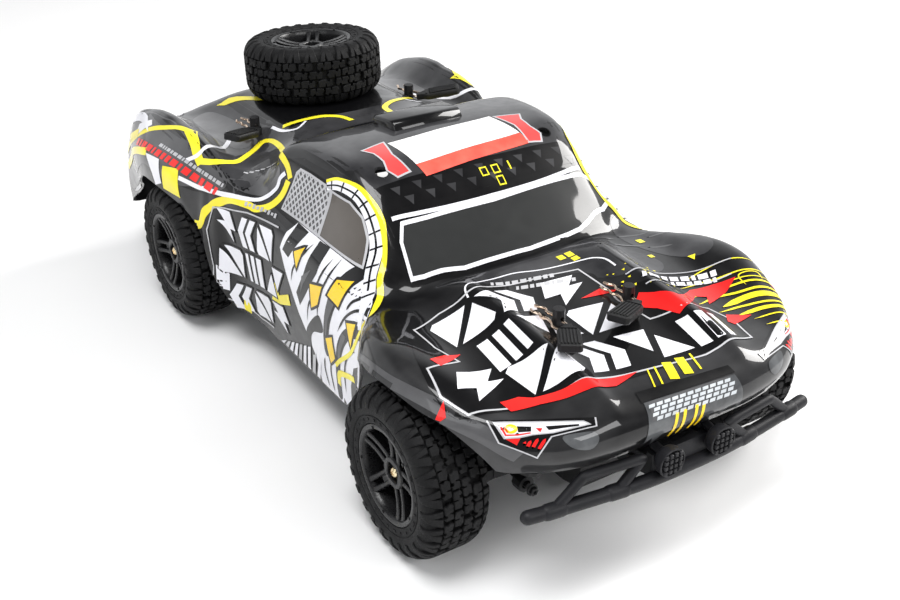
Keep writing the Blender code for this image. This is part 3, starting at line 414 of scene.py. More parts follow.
# Each row crosses the shell at one place along the truck, as in the CAD: its y on the centre line,
# how far its outer end is swept back, and nine (x, z) points from the centre line outwards.
SHELL_ROWS = [
    (-208.5, 22.5, [(0, 68.5), (20, 68.5), (32, 68.5), (42, 68.5), (54.5, 68.5),
                    (67, 68.5), (76, 69), (82.5, 68.5), (87.5, 69)]),
    (-213.5, 26.8, [(0, 77.5), (20, 77.5), (32, 77.5), (42, 77.5), (54.5, 77.5),
                    (67, 77), (78, 77), (85.5, 76), (92, 75.5)]),
    (-211.5, 27.1, [(0, 86.5), (20, 86.5), (32, 86.5), (42, 86.5), (54.5, 85.5),
                    (69, 84), (81, 84), (89.5, 82.5), (96.5, 81)]),
    (-202.5, 22.8, [(0, 91.5), (20, 91.5), (32, 92.5), (40, 93.5), (52.5, 91),
                    (71, 89), (85, 90), (94.5, 88.5), (101, 85.5)]),
    (-188.0, 17.5, [(0, 93.5), (20, 93.5), (32, 95), (40, 97), (52.5, 92.5),
                    (72, 90.5), (88, 92.5), (98.5, 92), (105.5, 87.5)]),
    (-168.0, 11.7, [(0, 95.5), (20, 95.5), (32, 97.5), (40, 100), (52.5, 94.5),
                    (72, 93), (90, 96.5), (101.5, 96), (108.5, 90)]),
    (-145.0, 5.5, [(0, 97.5), (20, 97.5), (32, 99.5), (40, 102), (52.5, 96.5),
                   (73, 95), (92, 99.5), (103.5, 99), (110, 91)]),
    (-125.0, 3.0, [(0, 99), (20, 99), (32, 101), (40, 103.5), (52.5, 98),
                   (73, 95.5), (92, 100), (103.5, 99), (109.5, 89)]),
    (-110.0, 3.0, [(0, 100), (20, 100), (32, 102), (40, 104), (52.5, 98.5),
                   (74, 95.5), (92, 98.5), (101.5, 96.5), (106, 86)]),
    (-97.5, 3.5, [(0, 100.5), (20, 100.5), (33, 102.5), (42, 104), (53.5, 98.5),
                  (74, 95), (90, 96.5), (98, 92), (101, 79.5)]),
    (-88.5, 3.5, [(0, 101), (21, 101), (36, 102), (46, 102), (56.5, 98),
                  (74, 95), (88, 94.5), (94.5, 86), (96, 70.5)]),
    (-82.0, 3.5, [(0, 102), (22, 101.5), (42, 101), (54, 99.5), (64.5, 97),
                  (74, 96), (87.5, 92), (92, 78), (92.5, 59.5)]),
    (-74.5, 3.5, [(0, 109), (23, 108.5), (43, 107.5), (58, 104.5), (66.5, 101),
                  (75, 98.5), (87, 91), (91, 72), (90.5, 46)]),
    (-66.5, 3.5, [(0, 116.5), (23, 116), (43, 115), (60, 112.5), (68.5, 108.5),
                  (77, 103), (87, 90.5), (90.5, 68), (89, 35)]),
    (-56.5, 3.5, [(0, 126), (23, 125.5), (43, 124.5), (60.5, 122.5), (69.5, 115),
                  (79, 105), (87, 91), (90, 62), (87.5, 26.5)]),
    (-47.5, 3.5, [(0, 134), (24, 133.5), (44, 133), (61.5, 130.5), (70.5, 120),
                  (80, 106), (87.5, 91), (90, 60), (87, 24)]),
    (-36.5, 3.5, [(0, 141.5), (24, 141), (45, 140.5), (63, 137.5), (72.5, 122.5),
                  (81, 106.5), (88, 91.5), (90, 60), (87, 24)]),
    (-21.5, 3.5, [(0, 145.5), (24, 145), (47, 145), (66.5, 142.5), (74.5, 123.5),
                  (82, 106.5), (88, 92), (90, 60), (87, 24)]),
    (1.5, 3.5, [(0, 146.5), (25, 146), (48, 145.5), (69.5, 142.5), (76.5, 124),
                (82.5, 106.5), (88, 92), (90, 60), (87, 24)]),
    (23.5, 3.5, [(0, 144), (26, 143.5), (50, 143), (72, 140), (77.5, 123),
                 (83, 106.5), (88.5, 93), (90, 60), (87, 24)]),
    (34.5, 3.5, [(0, 141), (26, 140.5), (51, 140.5), (73, 136.5), (78, 122),
                 (83.5, 106.5), (89, 94), (90, 60), (87, 24)]),
    (43.5, 3.5, [(0, 136.5), (26, 136), (51, 134.5), (69, 129.5), (77, 119),
                 (84, 107), (90, 95.5), (90.5, 62), (87, 24.5)]),
    (58.5, 4.5, [(0, 131), (26, 130.5), (47, 128.5), (60, 123), (71.5, 116.5),
                 (81, 111), (92, 101), (92.5, 66), (89, 25)]),
    (71.5, 3.5, [(0, 129.5), (26, 129.5), (45.5, 126.5), (56, 120.5), (66.5, 115.5),
                 (79, 112.5), (93, 107.5), (94.5, 68), (95, 28.5)]),
    (78.5, 3.0, [(0, 129), (26, 129), (44.5, 125.5), (54.5, 119), (65, 115),
                 (79, 113), (93.5, 111), (99, 74.5), (99.5, 38.5)]),
    (85.0, 2.5, [(0, 129), (26, 129), (43.5, 125.5), (53, 118.5), (63.5, 114.5),
                 (79, 113.5), (94, 114), (100, 81), (102, 48.5)]),
    (89.5, 2.0, [(0, 129), (26, 129), (43.5, 125), (53, 118), (63.5, 114.5),
                 (79, 113.5), (94, 116), (101, 88.5), (103, 61.5)]),
    (96.0, 2.0, [(0, 128.5), (26, 128.5), (43.5, 124.5), (53, 117.5), (63.5, 114),
                 (79, 114), (94.5, 119), (101.5, 96), (103.5, 73)]),
    (105.0, 3.0, [(0, 127.5), (26, 127.5), (43.5, 124), (53, 117.5), (63.5, 114),
                  (79, 114), (95, 121.5), (108, 98.5), (106.5, 81)]),
    (114.5, 4.5, [(0, 127), (26, 127), (43.5, 123.5), (53, 117), (63.5, 113.5),
                  (79, 114.5), (95, 123.5), (110, 103), (110, 85)]),
    (124.5, 4.5, [(0, 126.5), (26, 126.5), (43.5, 123), (53, 116.5), (63.5, 113),
                  (79, 114.5), (95, 124), (111, 105), (113, 88)]),
    (135.5, 4.5, [(0, 125.5), (26, 125.5), (43.5, 122.5), (53, 116), (63.5, 112.5),
                  (79, 114), (95, 124), (111.5, 106), (113.5, 88)]),
    (146.5, 4.5, [(0, 125), (26, 125), (43.5, 122), (53, 115.5), (63.5, 112),
                  (79, 114), (96, 124.5), (111.5, 105.5), (113, 86.5)]),
    (160.5, 4.5, [(0, 124), (26, 124), (43.5, 121.5), (53, 115), (63.5, 111.5),
                  (79, 113), (96.5, 123), (110.5, 102), (111, 80.5)]),
    (175.5, 4.5, [(0, 122), (26, 122), (44, 120), (54, 114), (64.5, 110.5),
                  (79, 110.5), (97, 119), (108.5, 97), (107.5, 71.5)]),
    (191.5, 4.5, [(0, 113), (26, 113), (46, 112.5), (56, 111), (66.5, 108),
                  (79, 106.5), (96.5, 113.5), (105.5, 93), (102, 62.5)]),
    (210.0, 3.0, [(0, 101), (26, 101), (46, 101), (57, 100.5), (68.5, 99.5),
                  (81, 98.5), (95, 103.5), (101.5, 82), (99, 52.5)]),
    (227.0, 3.0, [(0, 88), (26, 88), (46, 88), (57, 88), (68.5, 88),
                  (81, 87), (93.5, 90.5), (98.5, 70), (97, 42.5)]),
    (239.5, 3.0, [(0, 68), (26, 68), (46, 68), (57, 68), (68.5, 68),
                  (81, 67.5), (91.5, 66.5), (96.5, 54), (95.5, 35)]),
    (244.5, 3.0, [(0, 48), (26, 48), (46, 48), (57, 48), (68.5, 48),
                  (81, 47.5), (90.5, 46.5), (94.5, 40), (94.5, 31.5)]),
    (243.5, 3.0, [(0, 32), (26, 32), (46, 32), (57, 32), (68.5, 32),
                  (81, 31.5), (89, 31), (92.5, 31), (93.5, 31)]),
]


def shell_grid(steps_along, steps_across):
    """Left half of the shell as rows of points, refined both ways."""
    rows = [refined([Vector((x, y + sweep * (x / SWEEP_HALF_WIDTH) ** 4, z)) for x, z in section],
                    steps_across)
            for y, sweep, section in SHELL_ROWS]
    columns = [refined([row[j] for row in rows], steps_along) for j in range(len(rows[0]))]
    return [[column[i] for column in columns] for i in range(len(columns[0]))]


def shell_skin():
    """Points and faces of the whole outer skin."""
    vertices, faces = [], []
    for half in shell_grid(4, 5):
        vertices += [Vector((-p.x, p.y, p.z)) for p in reversed(half[1:])] + half
    count = 2 * len(half) - 1
    for i in range(len(vertices) // count - 1):
        for j in range(count - 1):
            k = i * count + j
            faces.append([k, k + 1, k + count + 1, k + count])
    return vertices, faces


def skin_normals(vertices, faces):
    """Smooth normal at each point of the skin."""
    normals = [Vector((0, 0, 0)) for _ in vertices]
    for face in faces:
        a, b, c, d = (vertices[i] for i in face)
        across = (c - a).cross(d - b)
        for i in face:
            normals[i] += across
    return [n.normalized() for n in normals]


SKIN, SKIN_FACES = shell_skin()
SKIN_NORMALS = skin_normals(SKIN, SKIN_FACES)
SKIN_TREE = BVHTree.FromPolygons([tuple(v) for v in SKIN], SKIN_FACES)


def on_skin(origin, direction, lift):
    """Where a ray first meets the skin, lifted off it, and the smooth normal there."""
    place, _, index, _ = SKIN_TREE.ray_cast(origin, direction)
    if place is None:
        return None
    corners = SKIN_FACES[index]
    weights = poly_3d_calc([SKIN[i] for i in corners], place)
    normal = sum((SKIN_NORMALS[i] * w for i, w in zip(corners, weights)),
                 Vector((0, 0, 0))).normalized()
    return place + normal * lift, normal


def build_shell():
    """The shell's sheet with its wall, its post and roof holes, and the scoop on the roof."""
    shell = make_piece("shell_skin_detail", SKIN, SKIN_FACES, FILMS["shell"])
    wall = shell.modifiers.new("wall", "SOLIDIFY")
    wall.thickness = SHELL_WALL * MM
    wall.offset = -1.0
    wall.use_even_offset = False
    depsgraph = bpy.context.evaluated_depsgraph_get()
    shell.data = bpy.data.meshes.new_from_object(shell.evaluated_get(depsgraph))
    shell.modifiers.clear()
    holes = Solid()
    for side in (-1, 1):
        for (x, y), radius in HOLES:
            holes.skin([[Vector((*p, z)) for p in circle(side * x, y, radius, HOLE_SIDES)]
                        for z in (80.0, 165.0)])
    cut(shell, holes.piece("hole_cutter", FILMS["shell"]))
    shell.data.set_sharp_from_angle(angle=math.radians(40.0))
    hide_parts("body_shell")
    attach(shell, "chassis")
    scoop = Solid()
    profile = [(3.5, 143.0), (27.5, 141.5), (29.0, 143.5), (29.2, 146.6), (28.2, 147.8),
               (25.5, 148.5), (10.5, 150.3), (8.2, 150.2), (6.6, 149.2), (4.6, 146.4)]
    rings = []
    for x, shrink in ((-22.0, 0.86), (-21.6, 0.94), (-20.8, 1.0), (20.8, 1.0), (21.6, 0.94),
                      (22.0, 0.86)):
        rings.append([Vector((x, 16.5 + (y - 16.5) * shrink, 142.0 + (z - 142.0) * shrink))
                      for y, z in profile])
    scoop.skin(rings)
    piece = scoop.piece("roof_scoop_detail", FILMS["black"], "shell", 50.0)
    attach(piece, "chassis")


# ---------------------------------------------------------------- printed film on the shell

# How a flat point becomes a ray, for each drawing plane.  The lamp, brow and rail planes lie level
# and are seen along their own slanting ways.
LAMP_WAY = Vector((0.4, 0.62, -0.68)).normalized()
BROW_WAY = Vector((0.0, 0.7, -0.7)).normalized()
RAIL_WAY = Vector((0.62, 0.25, -0.74)).normalized()
PLANES = {
    "top": lambda a, b: (Vector((a, b, CAST_FROM)), Vector((0, 0, -1))),
    "side": lambda a, b: (Vector((CAST_FROM, a, b)), Vector((-1, 0, 0))),
    "tail": lambda a, b: (Vector((a, CAST_FROM, b)), Vector((0, -1, 0))),
    "lamp": lambda a, b: (Vector((a, b, LAMP_LEVEL)) - LAMP_WAY * SLANT_CAST, LAMP_WAY),
    "brow": lambda a, b: (Vector((a, b, LAMP_LEVEL)) - BROW_WAY * SLANT_CAST, BROW_WAY),
    "rail": lambda a, b: (Vector((a, b, RAIL_LEVEL)) - RAIL_WAY * SLANT_CAST, RAIL_WAY),
}
MIRRORED_PLANES = ("side", "lamp", "rail")


class Sheet:
    """All the film of one colour, gathered into one mesh."""

    def __init__(self):
        self.vertices, self.normals, self.faces = [], [], []

    def lay(self, points, faces, plane, layer):
        """Projects flat points on the skin and keeps the faces whose corners all land.

        Each piece of film gets a hair's breadth of lift of its own, so no two coincide.
        """
        lift = FILM_LIFT + FILM_STEP * layer + 0.0004 * (len(self.vertices) % 17)
        rays = [PLANES[plane](*p) for p in points]
        landed = [on_skin(*ray, lift) for ray in rays]
        landed = [spot if spot and -spot[1].dot(ray[1]) > GRAZING else None
                  for spot, ray in zip(landed, rays)]
        for side in (1, -1) if plane in MIRRORED_PLANES else (1,):
            start = len(self.vertices)
            kept = {}
            for i, spot in enumerate(landed):
                if spot is not None:
                    kept[i] = start + len(kept)
                    place, normal = spot
                    self.vertices.append(Vector((side * place.x, place.y, place.z)))
                    self.normals.append(Vector((side * normal.x, normal.y, normal.z)))
            for face in faces:
                if all(i in kept for i in face):
                    ids = [kept[i] for i in face]
                    a, b, c = (self.vertices[i] for i in ids[:3])
                    if max((a - b).length, (b - c).length, (c - a).length) > LONGEST_FILM_EDGE:
                        continue
                    if (b - a).cross(c - a).dot(self.normals[ids[0]]) < 0:
                        ids.reverse()
                    self.faces.append(ids)


SHEETS = {name: Sheet() for name in FILMS if name != "shell"}


def inside(points, outline):
    """Which of the points lie inside a closed outline."""
    x, y = points[:, 0], points[:, 1]
    found = np.zeros(len(points), bool)
    for (x0, y0), (x1, y1) in zip(outline, outline[1:] + outline[:1]):
        if y0 != y1:
            found ^= ((y0 > y) != (y1 > y)) & (x < (x1 - x0) * (y - y0) / (y1 - y0) + x0)
    return found


def split_edges(outline, step, closed=True):
    """The outline with points added so that no edge is longer than step."""
    fine = []
    ends = outline[1:] + outline[:1] if closed else outline[1:]
    for (x0, y0), (x1, y1) in zip(outline, ends):
        count = max(1, math.ceil(math.hypot(x1 - x0, y1 - y0) / step))
        fine += [(x0 + (x1 - x0) * k / count, y0 + (y1 - y0) * k / count) for k in range(count)]
    return fine if closed else fine + [outline[-1]]


def smooth_flat(points, steps=6, closed=False):
    """A smooth curve through flat points."""
    return [tuple(p) for p in refined([Vector(p) for p in points], steps, closed)]


def area(colour, outline, plane="top", layer=0, smooth=False):
    """Film that fills an outline, cut round the shell's holes where it is laid from above."""
    if smooth:
        outline = smooth_flat(outline, closed=True)
    loop = split_edges(outline, FILM_EDGE)
    low, high = np.min(loop, 0), np.max(loop, 0)
    rings = []
    if plane == "top":
        for (x, y), radius in HOLES:
            for side in (-1, 1):
                if low[0] - 5 < side * x < high[0] + 5 and low[1] - 5 < y < high[1] + 5:
                    rings.append(circle(side * x, y, radius + FILM_GAP, 20))
    across = np.arange(low[0] + FILM_GRID / 2, high[0], FILM_GRID)
    along = np.arange(low[1] + FILM_GRID / 2, high[1], FILM_GRID)
    grid = np.array([(a, b) for a in across for b in along]).reshape(-1, 2)
    if len(grid):
        grid = grid[inside(grid, outline)]
    if len(grid):
        edge = np.array(loop)
        near = np.sqrt(((grid[:, None, :] - edge[None, :, :]) ** 2).sum(2)).min(1)
        grid = grid[near > 0.55 * FILM_GRID]
    points = [Vector(p) for p in loop]
    edges = [(i, (i + 1) % len(loop)) for i in range(len(loop))]
    for ring in rings:
        start = len(points)
        points += [Vector(p) for p in ring]
        edges += [(start + i, start + (i + 1) % len(ring)) for i in range(len(ring))]
    points += [Vector(p) for p in grid]
    flat, _, triangles, *_ = delaunay_2d_cdt(points, edges, [], 1, 1e-5)
    if not triangles:
        return
    corners = np.array([[flat[i][:] for i in t] for t in triangles])
    middles = corners.mean(1)
    keep = inside(middles, loop)
    for ring in rings:
        keep &= ~inside(middles, ring)
    faces = [list(t) for t, k in zip(triangles, keep) if k]
    SHEETS[colour].lay([tuple(p) for p in flat], faces, plane, layer)


def stripe(colour, path, width, plane="top", layer=1, closed=False, smooth=True, pointed=False):
    """Film along a path; pointed stripes narrow to both ends."""
    if smooth:
        path = smooth_flat(path, 8, closed)
    line = [Vector(p) for p in split_edges(path, FILM_EDGE, closed)]
    count = len(line)
    columns = max(1, math.ceil(width / FILM_STRIP))
    points = []
    for i, p in enumerate(line):
        before = line[(i - 1) % count] if closed else line[max(i - 1, 0)]
        after = line[(i + 1) % count] if closed else line[min(i + 1, count - 1)]
        along = (after - before).normalized()
        into = (p - before).normalized() if (p - before).length > 1e-6 else along
        across = Vector((-along.y, along.x)) / max(0.6, abs(along.dot(into)))
        t = i / max(count - 1, 1)
        reach = width / 2 * (min(1.0, 5 * t, 5 * (1 - t)) if pointed else 1.0)
        points += [tuple(p + across * reach * (2 * k / columns - 1)) for k in range(columns + 1)]
    faces = []
    row = columns + 1
    for i in range(count if closed else count - 1):
        near, far = i * row, (i + 1) % count * row
        faces += [[near + k, near + k + 1, far + k + 1, far + k] for k in range(columns)]
    SHEETS[colour].lay(points, faces, plane, layer)


def hatch(colour, outline, angle, spacing, width, plane, layer):
    """Parallel stripes clipped to an outline."""
    fineness = 0.8
    along = Vector((math.cos(math.radians(angle)), math.sin(math.radians(angle))))
    across = Vector((-along.y, along.x))
    middle = Vector((sum(p[0] for p in outline) / len(outline),
                     sum(p[1] for p in outline) / len(outline)))
    reach = max((Vector(p) - middle).length for p in outline)
    steps = int(reach // spacing) + 1
    for k in range(-steps, steps + 1):
        start = middle + across * k * spacing - along * reach
        samples = [start + along * (fineness * i) for i in range(int(2 * reach / fineness) + 1)]
        mask = inside(np.array([tuple(s) for s in samples]), outline)
        run = []
        for sample, is_in in zip(samples + [samples[-1]], list(mask) + [False]):
            if is_in:
                run.append(tuple(sample))
            else:
                if len(run) > 2:
                    stripe(colour, [run[0], run[-1]], width, plane, layer, smooth=False)
                run = []


# Abstract shapes that fill a unit square; they stand where the real shell has its large print.
WEDGE_PAIR = [[(0.0, 1.0), (0.0, 0.14), (0.14, 0.0), (0.9, 0.0)],
              [(0.14, 1.0), (1.0, 0.12), (1.0, 0.88), (0.88, 1.0)]]
LIGHTNING = [[(0.34, 0.0), (1.0, 0.0), (0.68, 0.38), (0.98, 0.38), (0.16, 1.0), (0.36, 0.58),
              (0.02, 0.58)]]
CHEVRONS = [[(0.0, 0.0), (0.3, 0.0), (0.56, 0.5), (0.3, 1.0), (0.0, 1.0), (0.26, 0.5)],
            [(0.44, 0.0), (0.74, 0.0), (1.0, 0.5), (0.74, 1.0), (0.44, 1.0), (0.7, 0.5)]]
TRIANGLES = [[(0.0, 0.0), (0.64, 0.0), (0.32, 0.74)], [(0.36, 1.0), (1.0, 1.0), (0.68, 0.26)]]
SLASHES = [[(0.0, 1.0), (0.16, 0.0), (0.44, 0.0), (0.28, 1.0)],
           [(0.4, 1.0), (0.56, 0.0), (0.74, 0.0), (0.58, 1.0)],
           [(0.7, 1.0), (0.86, 0.0), (1.0, 0.0), (0.84, 1.0)]]


def ticks(colour, start, step, count, height, plane="top", layer=3, slant=0.35):
    """A row of slanted dashes of uneven width, where the real shell has small print."""
    step = Vector(step)
    along = step.normalized()
    down = Vector((along.y, -along.x)) * height
    here = Vector(start)
    for i in range(count):
        reach = step * (0.34, 0.72, 0.5, 0.86)[(3 * i + i // 4) % 4]
        lean = along * slant * height
        area(colour, [tuple(here + lean), tuple(here + lean + reach), tuple(here + reach + down),
                      tuple(here + down)], plane, layer)
        here = here + reach + along * 0.34 * height


def print_block(colour, shapes, corners, plane="top", layer=2, shadow=1.3):
    """Lays a block between four corners (upper left, upper right, lower right, lower left)."""
    a, b, c, d = (Vector(p) for p in corners)
    for shape in shapes:
        outline = [tuple((a * (1 - u) + b * u) * (1 - v) + (d * (1 - u) + c * u) * v)
                   for u, v in shape]
        stripe("black", outline, 2 * shadow, plane, layer - 1, closed=True, smooth=False)
        area(colour, outline, plane, layer)


def to_side(side, points):
    """Flat points on one side of the truck, drawn for its left."""
    return [(side * a, b) for a, b in points]


def hood_film():
    """Film seen from above between the windscreen and the nose."""
    base = [(-66, -75), (-55, -79.5), (-38, -82), (-33, -87), (-20, -82.5), (8, -83), (35, -81),
            (43, -83), (50, -78.5), (58, -74), (65, -71.5), (75, -68.5), (84, -62)]
    top = [(74, -44), (66, -36), (60, -44), (50, -49), (0, -52.5), (-50, -49), (-60, -44),
           (-66, -50), (-74, -62)]
    area("black", base + top, layer=0)
    glass = [(-60, -75), (-54, -76.5), (-44, -77.5), (-32, -79.5), (-20, -79.5), (8, -80),
             (34, -78.5), (42, -77.5), (49, -75), (57, -71), (64, -69), (70, -65), (66, -57),
             (58, -55), (0, -58), (-40, -57), (-54, -56), (-58, -62)]
    area("glass", glass, layer=1)
    stripe("white", glass, 1.7, layer=2, closed=True, smooth=False)
    stripe("white", [(-58, -53), (-30, -55.5), (0, -56.3), (32, -55.2), (60, -52)], 1.6, layer=2)
    # Smoke panels on the hood.
    area("smoke", [(-30, -86), (8, -86), (34, -85), (46, -88), (58, -100), (64, -118), (52, -128),
                   (30, -124), (12, -112), (-14, -104), (-32, -98)], layer=0, smooth=True)
    area("smoke", [(66, -74), (84, -70), (92, -96), (98, -118), (86, -126), (72, -112), (64, -92)],
         layer=0, smooth=True)
    area("smoke", [(-22, -132), (10, -134), (34, -140), (22, -160), (2, -158), (-18, -150)],
         layer=0, smooth=True)
    for x, y, turn, reach in ((44, -84, 8, 15), (52, -92, 18, 20), (62, -84, 4, 22),
                              (70, -100, 26, 14), (40, -96, 2, 12), (78, -90, 14, 16)):
        slope = math.radians(turn)
        stripe("grey", [(x, y), (x + reach * math.cos(slope), y - reach * math.sin(slope))], 1.5,
               layer=1, smooth=False, pointed=True)
    # Two rows of slanted dashes under one cloud line.
    stripe("white", [(-46, -104), (-43, -97), (-34, -95), (-14, -93.5), (2, -98), (24, -101),
                     (33, -107), (34, -117)], 0.9, layer=2)
    ticks("silver", (-30, -97.2), (4.6, -0.9), 9, 3.4)
    ticks("silver", (-20, -105.0), (4.2, -1.0), 9, 3.2)
    # The big white blocks, three rows that run down to the nose.
    black_field = [(-96, -140), (-80, -112), (-46, -99), (-10, -101), (20, -112), (22, -128),
                   (52, -146), (58, -166), (54, -192), (20, -193), (-30, -190), (-66, -182),
                   (-96, -172)]
    area("black", black_field, layer=1, smooth=True)
    blocks = [
        (WEDGE_PAIR, (-73, -109), (-47, -106), (-43, -126), (-70, -131)),
        (CHEVRONS, (-44, -106), (-19, -107), (-16, -128), (-41, -127)),
        (LIGHTNING, (-16, -108), (12, -110), (14, -131), (-12, -131)),
        (SLASHES, (-66, -136), (-42, -132), (-39, -152), (-64, -157)),
        (TRIANGLES, (-38, -132), (-17, -133), (-15, -154), (-37, -153)),
        (WEDGE_PAIR, (-13, -135), (12, -138), (14, -158), (-12, -157)),
        (LIGHTNING, (-91, -148), (-66, -153), (-63, -176), (-88, -169)),
        (WEDGE_PAIR, (-63, -156), (-36, -158), (-33, -181), (-60, -178)),
        (CHEVRONS, (-33, -159), (-8, -162), (-5, -185), (-31, -182)),
        (TRIANGLES, (-5, -163), (21, -166), (23, -188), (-4, -186)),
        (SLASHES, (24, -168), (49, -171), (50, -191), (26, -189)),
    ]
    for shapes, *corners in blocks:
        print_block("white", shapes, corners, layer=3)
    cloud = [(-79, -108), (-62, -102.5), (-44, -101), (-16, -103), (0, -104), (18, -107),
             (19, -130), (17, -139), (20, -160), (52, -165.5), (57, -178), (54, -193), (24, -194.5),
             (-6, -190), (-34, -186), (-64, -182), (-92, -174), (-97, -160), (-94, -144),
             (-76, -142), (-80, -128)]
    stripe("silver", cloud, 1.0, layer=3, closed=True, smooth=False)
    reds = [[(-89, -138), (-80, -135.5), (-72, -137), (-80, -141), (-87, -144)],
            [(-76, -174), (-67, -175), (-62, -179), (-48, -183.5), (-30, -187.5), (-12, -189),
             (-28, -193.5), (-42, -191.5), (-62, -184), (-75, -181)],
            [(20, -148), (29, -141), (36, -148), (42, -155), (56, -148), (72, -148.5), (84, -151),
             (72, -157), (56, -162), (60, -156), (54, -154), (41, -164), (33, -166), (28, -156)],
            [(53, -178), (57, -172.5), (70, -177), (55, -181)],
            [(2, -130), (16, -127), (22, -133), (14, -132)]]
    for outline in reds:
        area("red", outline, layer=4)
    area("red", [(-94.8, -158.9), (-99.8, -168.6), (-107.5, -169.5)], "lamp", 3)
    # Yellow tabs, specks and bars.
    for x, y, w, h in ((16, -91, 4, 4), (21.5, -90.5, 4, 4.5), (21.5, -96, 4, 3.5), (70, -90, 4, 4),
                       (62, -109, 3, 3)):
        area("yellow", [(x, y), (x + w, y), (x + w, y - h), (x, y - h)], layer=3)
    area("yellow", [(79, -121), (83, -122.5), (79.5, -126)], layer=3)
    for i in range(26):
        x = 24 + 30 * dice.random()
        y = -118 - 26 * dice.random()
        size = 0.5 + 0.9 * dice.random()
        area("yellow", [(x, y), (x + 1.6 * size, y - 0.3), (x + 0.7 * size, y - 1.3 * size)],
             layer=4)
    for x, lean, width in ((-5.5, -4.5, 0.9), (1.5, -4.2, 4.6), (9.0, -3.4, 4.6), (15.5, -2.8, 1.0),
                           (-9.5, -5.0, 0.7)):
        stripe("yellow", [(x + 2.2, -190.0), (x + 2.2 + lean, -201.0)], width, layer=4,
               smooth=False)
    # Flowing lines over the far fender, and the strokes in front of them.
    flows = [
        ([(50, -146), (66, -144.5), (82, -147), (98, -152), (106, -159)], 0.9),
        ([(56, -151), (70, -150), (84, -152.5), (96, -157), (102, -162)], 0.7),
        ([(50, -155), (66, -153), (84, -156), (99, -162), (107, -170)], 1.3),
        ([(48, -162), (64, -158), (80, -161), (94, -165), (106, -174)], 1.5),
        ([(60, -166.5), (76, -165), (90, -168.5), (102, -175)], 3.6),
        ([(54, -170), (70, -169.5), (86, -173), (98, -179), (105, -187)], 1.3),
        ([(62, -175), (78, -175), (92, -180), (102, -187)], 2.4),
        ([(68, -180), (80, -181), (92, -186), (99, -192)], 0.9),
        ([(62, -139), (76, -136), (92, -139), (104, -146)], 0.8),
        ([(84, -159), (86, -151), (96, -153), (95, -159)], 0.7),
        ([(70, -186), (82, -188), (92, -194)], 0.8),
    ]
    for path, width in flows:
        stripe("yellow", path, width, layer=3, pointed=True)
    ticks("white", (38, -130), (6.4, -1.5), 8, 4.4, layer=5)
    ticks("white", (50, -138.5), (5.6, -1.3), 6, 3.6, layer=5)
    stripe("silver", [(33, -126), (60, -131), (92, -139)], 0.8, layer=5)
    stripe("silver", [(35, -139), (60, -144), (84, -148)], 0.8, layer=5)


def nose_film():
    """Grille slot, milky mesh panel and the lamp graphics on the corners of the nose; the grey oval
    below each lamp is a painted highlight.
    """
    area("black", [(-23, -198), (2, -200.5), (28, -203), (29, -209), (2, -207.5), (-24, -205.5)],
         "brow", 2)
    area("lens",
         [(-23, -206), (2, -208), (28, -210), (30, -220), (31, -231), (-27, -231), (-25, -218)],
         "brow", 2)
    area("grey", [(-21, -206.8), (24, -210), (26, -219.5), (-23, -218.5)], "brow", 3)
    for row in range(4):
        b = -208.4 - 2.7 * row
        for i in range(11):
            a = -21.5 + 4.3 * i + 1.6 * (row % 2)
            drop = 0.06 * (a + 21.5)
            area("milk", [(a, b - drop), (a + 3.3, b - drop - 0.1), (a + 2.5, b - drop - 2.0),
                          (a - 0.8, b - drop - 1.9)], "brow", 4)
    for x in (-9, -4.4, 2.4, 6.6):
        stripe("amber", [(x, -218.5), (x - 2.2, -229)], 1.8, "brow", 4, smooth=False)
    # One lamp graphic, drawn for the right corner and mirrored to the left.
    rim_line = [(-87.1, -180.4), (-90.2, -194.6), (-81.7, -210.8), (-69.9, -203.6), (-49.9, -208),
                (-47.2, -203.2)]
    area("black", rim_line, "lamp", 2)
    stripe("silver", rim_line, 0.7, "lamp", 3, smooth=False)
    frame_line = [(-85.4, -183.2), (-53.0, -202.7), (-51.6, -205.6), (-68, -201.9), (-75.7, -198.4),
                  (-81.5, -196.7), (-86.8, -193.7)]
    area("white", frame_line, "lamp", 3)
    stripe("silver", frame_line, 0.8, "lamp", 4, closed=True, smooth=False)
    bulb = circle(0, 0, 1.0, 20)
    area("amber", [(-81.6 + 2.7 * a, -190.4 + 2.9 * b) for a, b in bulb], "lamp", 5)
    stripe("red", [(-84.4, -187.0), (-85.4, -192.4), (-81.4, -195.0), (-76.0, -197.0)], 0.8, "lamp",
           4, smooth=False)
    stripe("red", [(-83.2, -187.6), (-83.9, -191.6)], 0.6, "lamp", 5, smooth=False)
    area("black", [(-78.7, -190.4), (-73.6, -193.8), (-75.4, -196.4), (-80.2, -193.9)], "lamp", 4)
    area("red", [(-72.6, -195.6), (-70.2, -197.2), (-72.4, -198.9)], "lamp", 5)
    area("black", [(-68.4, -196.8), (-55.6, -203.2), (-56.2, -204.2), (-68.6, -199.6)], "lamp", 4)
    area("red", [(-86.7, -194.3), (-81.4, -197.4), (-84.8, -200.0)], "lamp", 4)
    for tail, tip in (((-82.8, -201.8), (-80.4, -200.0)), ((-82.4, -203.8), (-78.4, -200.8)),
                      ((-80.8, -205.4), (-75.2, -201.4)), ((-79.4, -207.6), (-72.6, -203.2))):
        stripe("red", [tail, tip], 1.5, "lamp", 4, smooth=False, pointed=True)
    # A rounded panel below each lamp. The panel itself is dark; its grey, lighter than the black
    # film round it, is a painted highlight.
    area("lens",
         [(-66, -206.2), (-57, -208.4), (-52.5, -211), (-54, -216), (-60, -218.5), (-66, -214)],
         "lamp", 2, smooth=True)


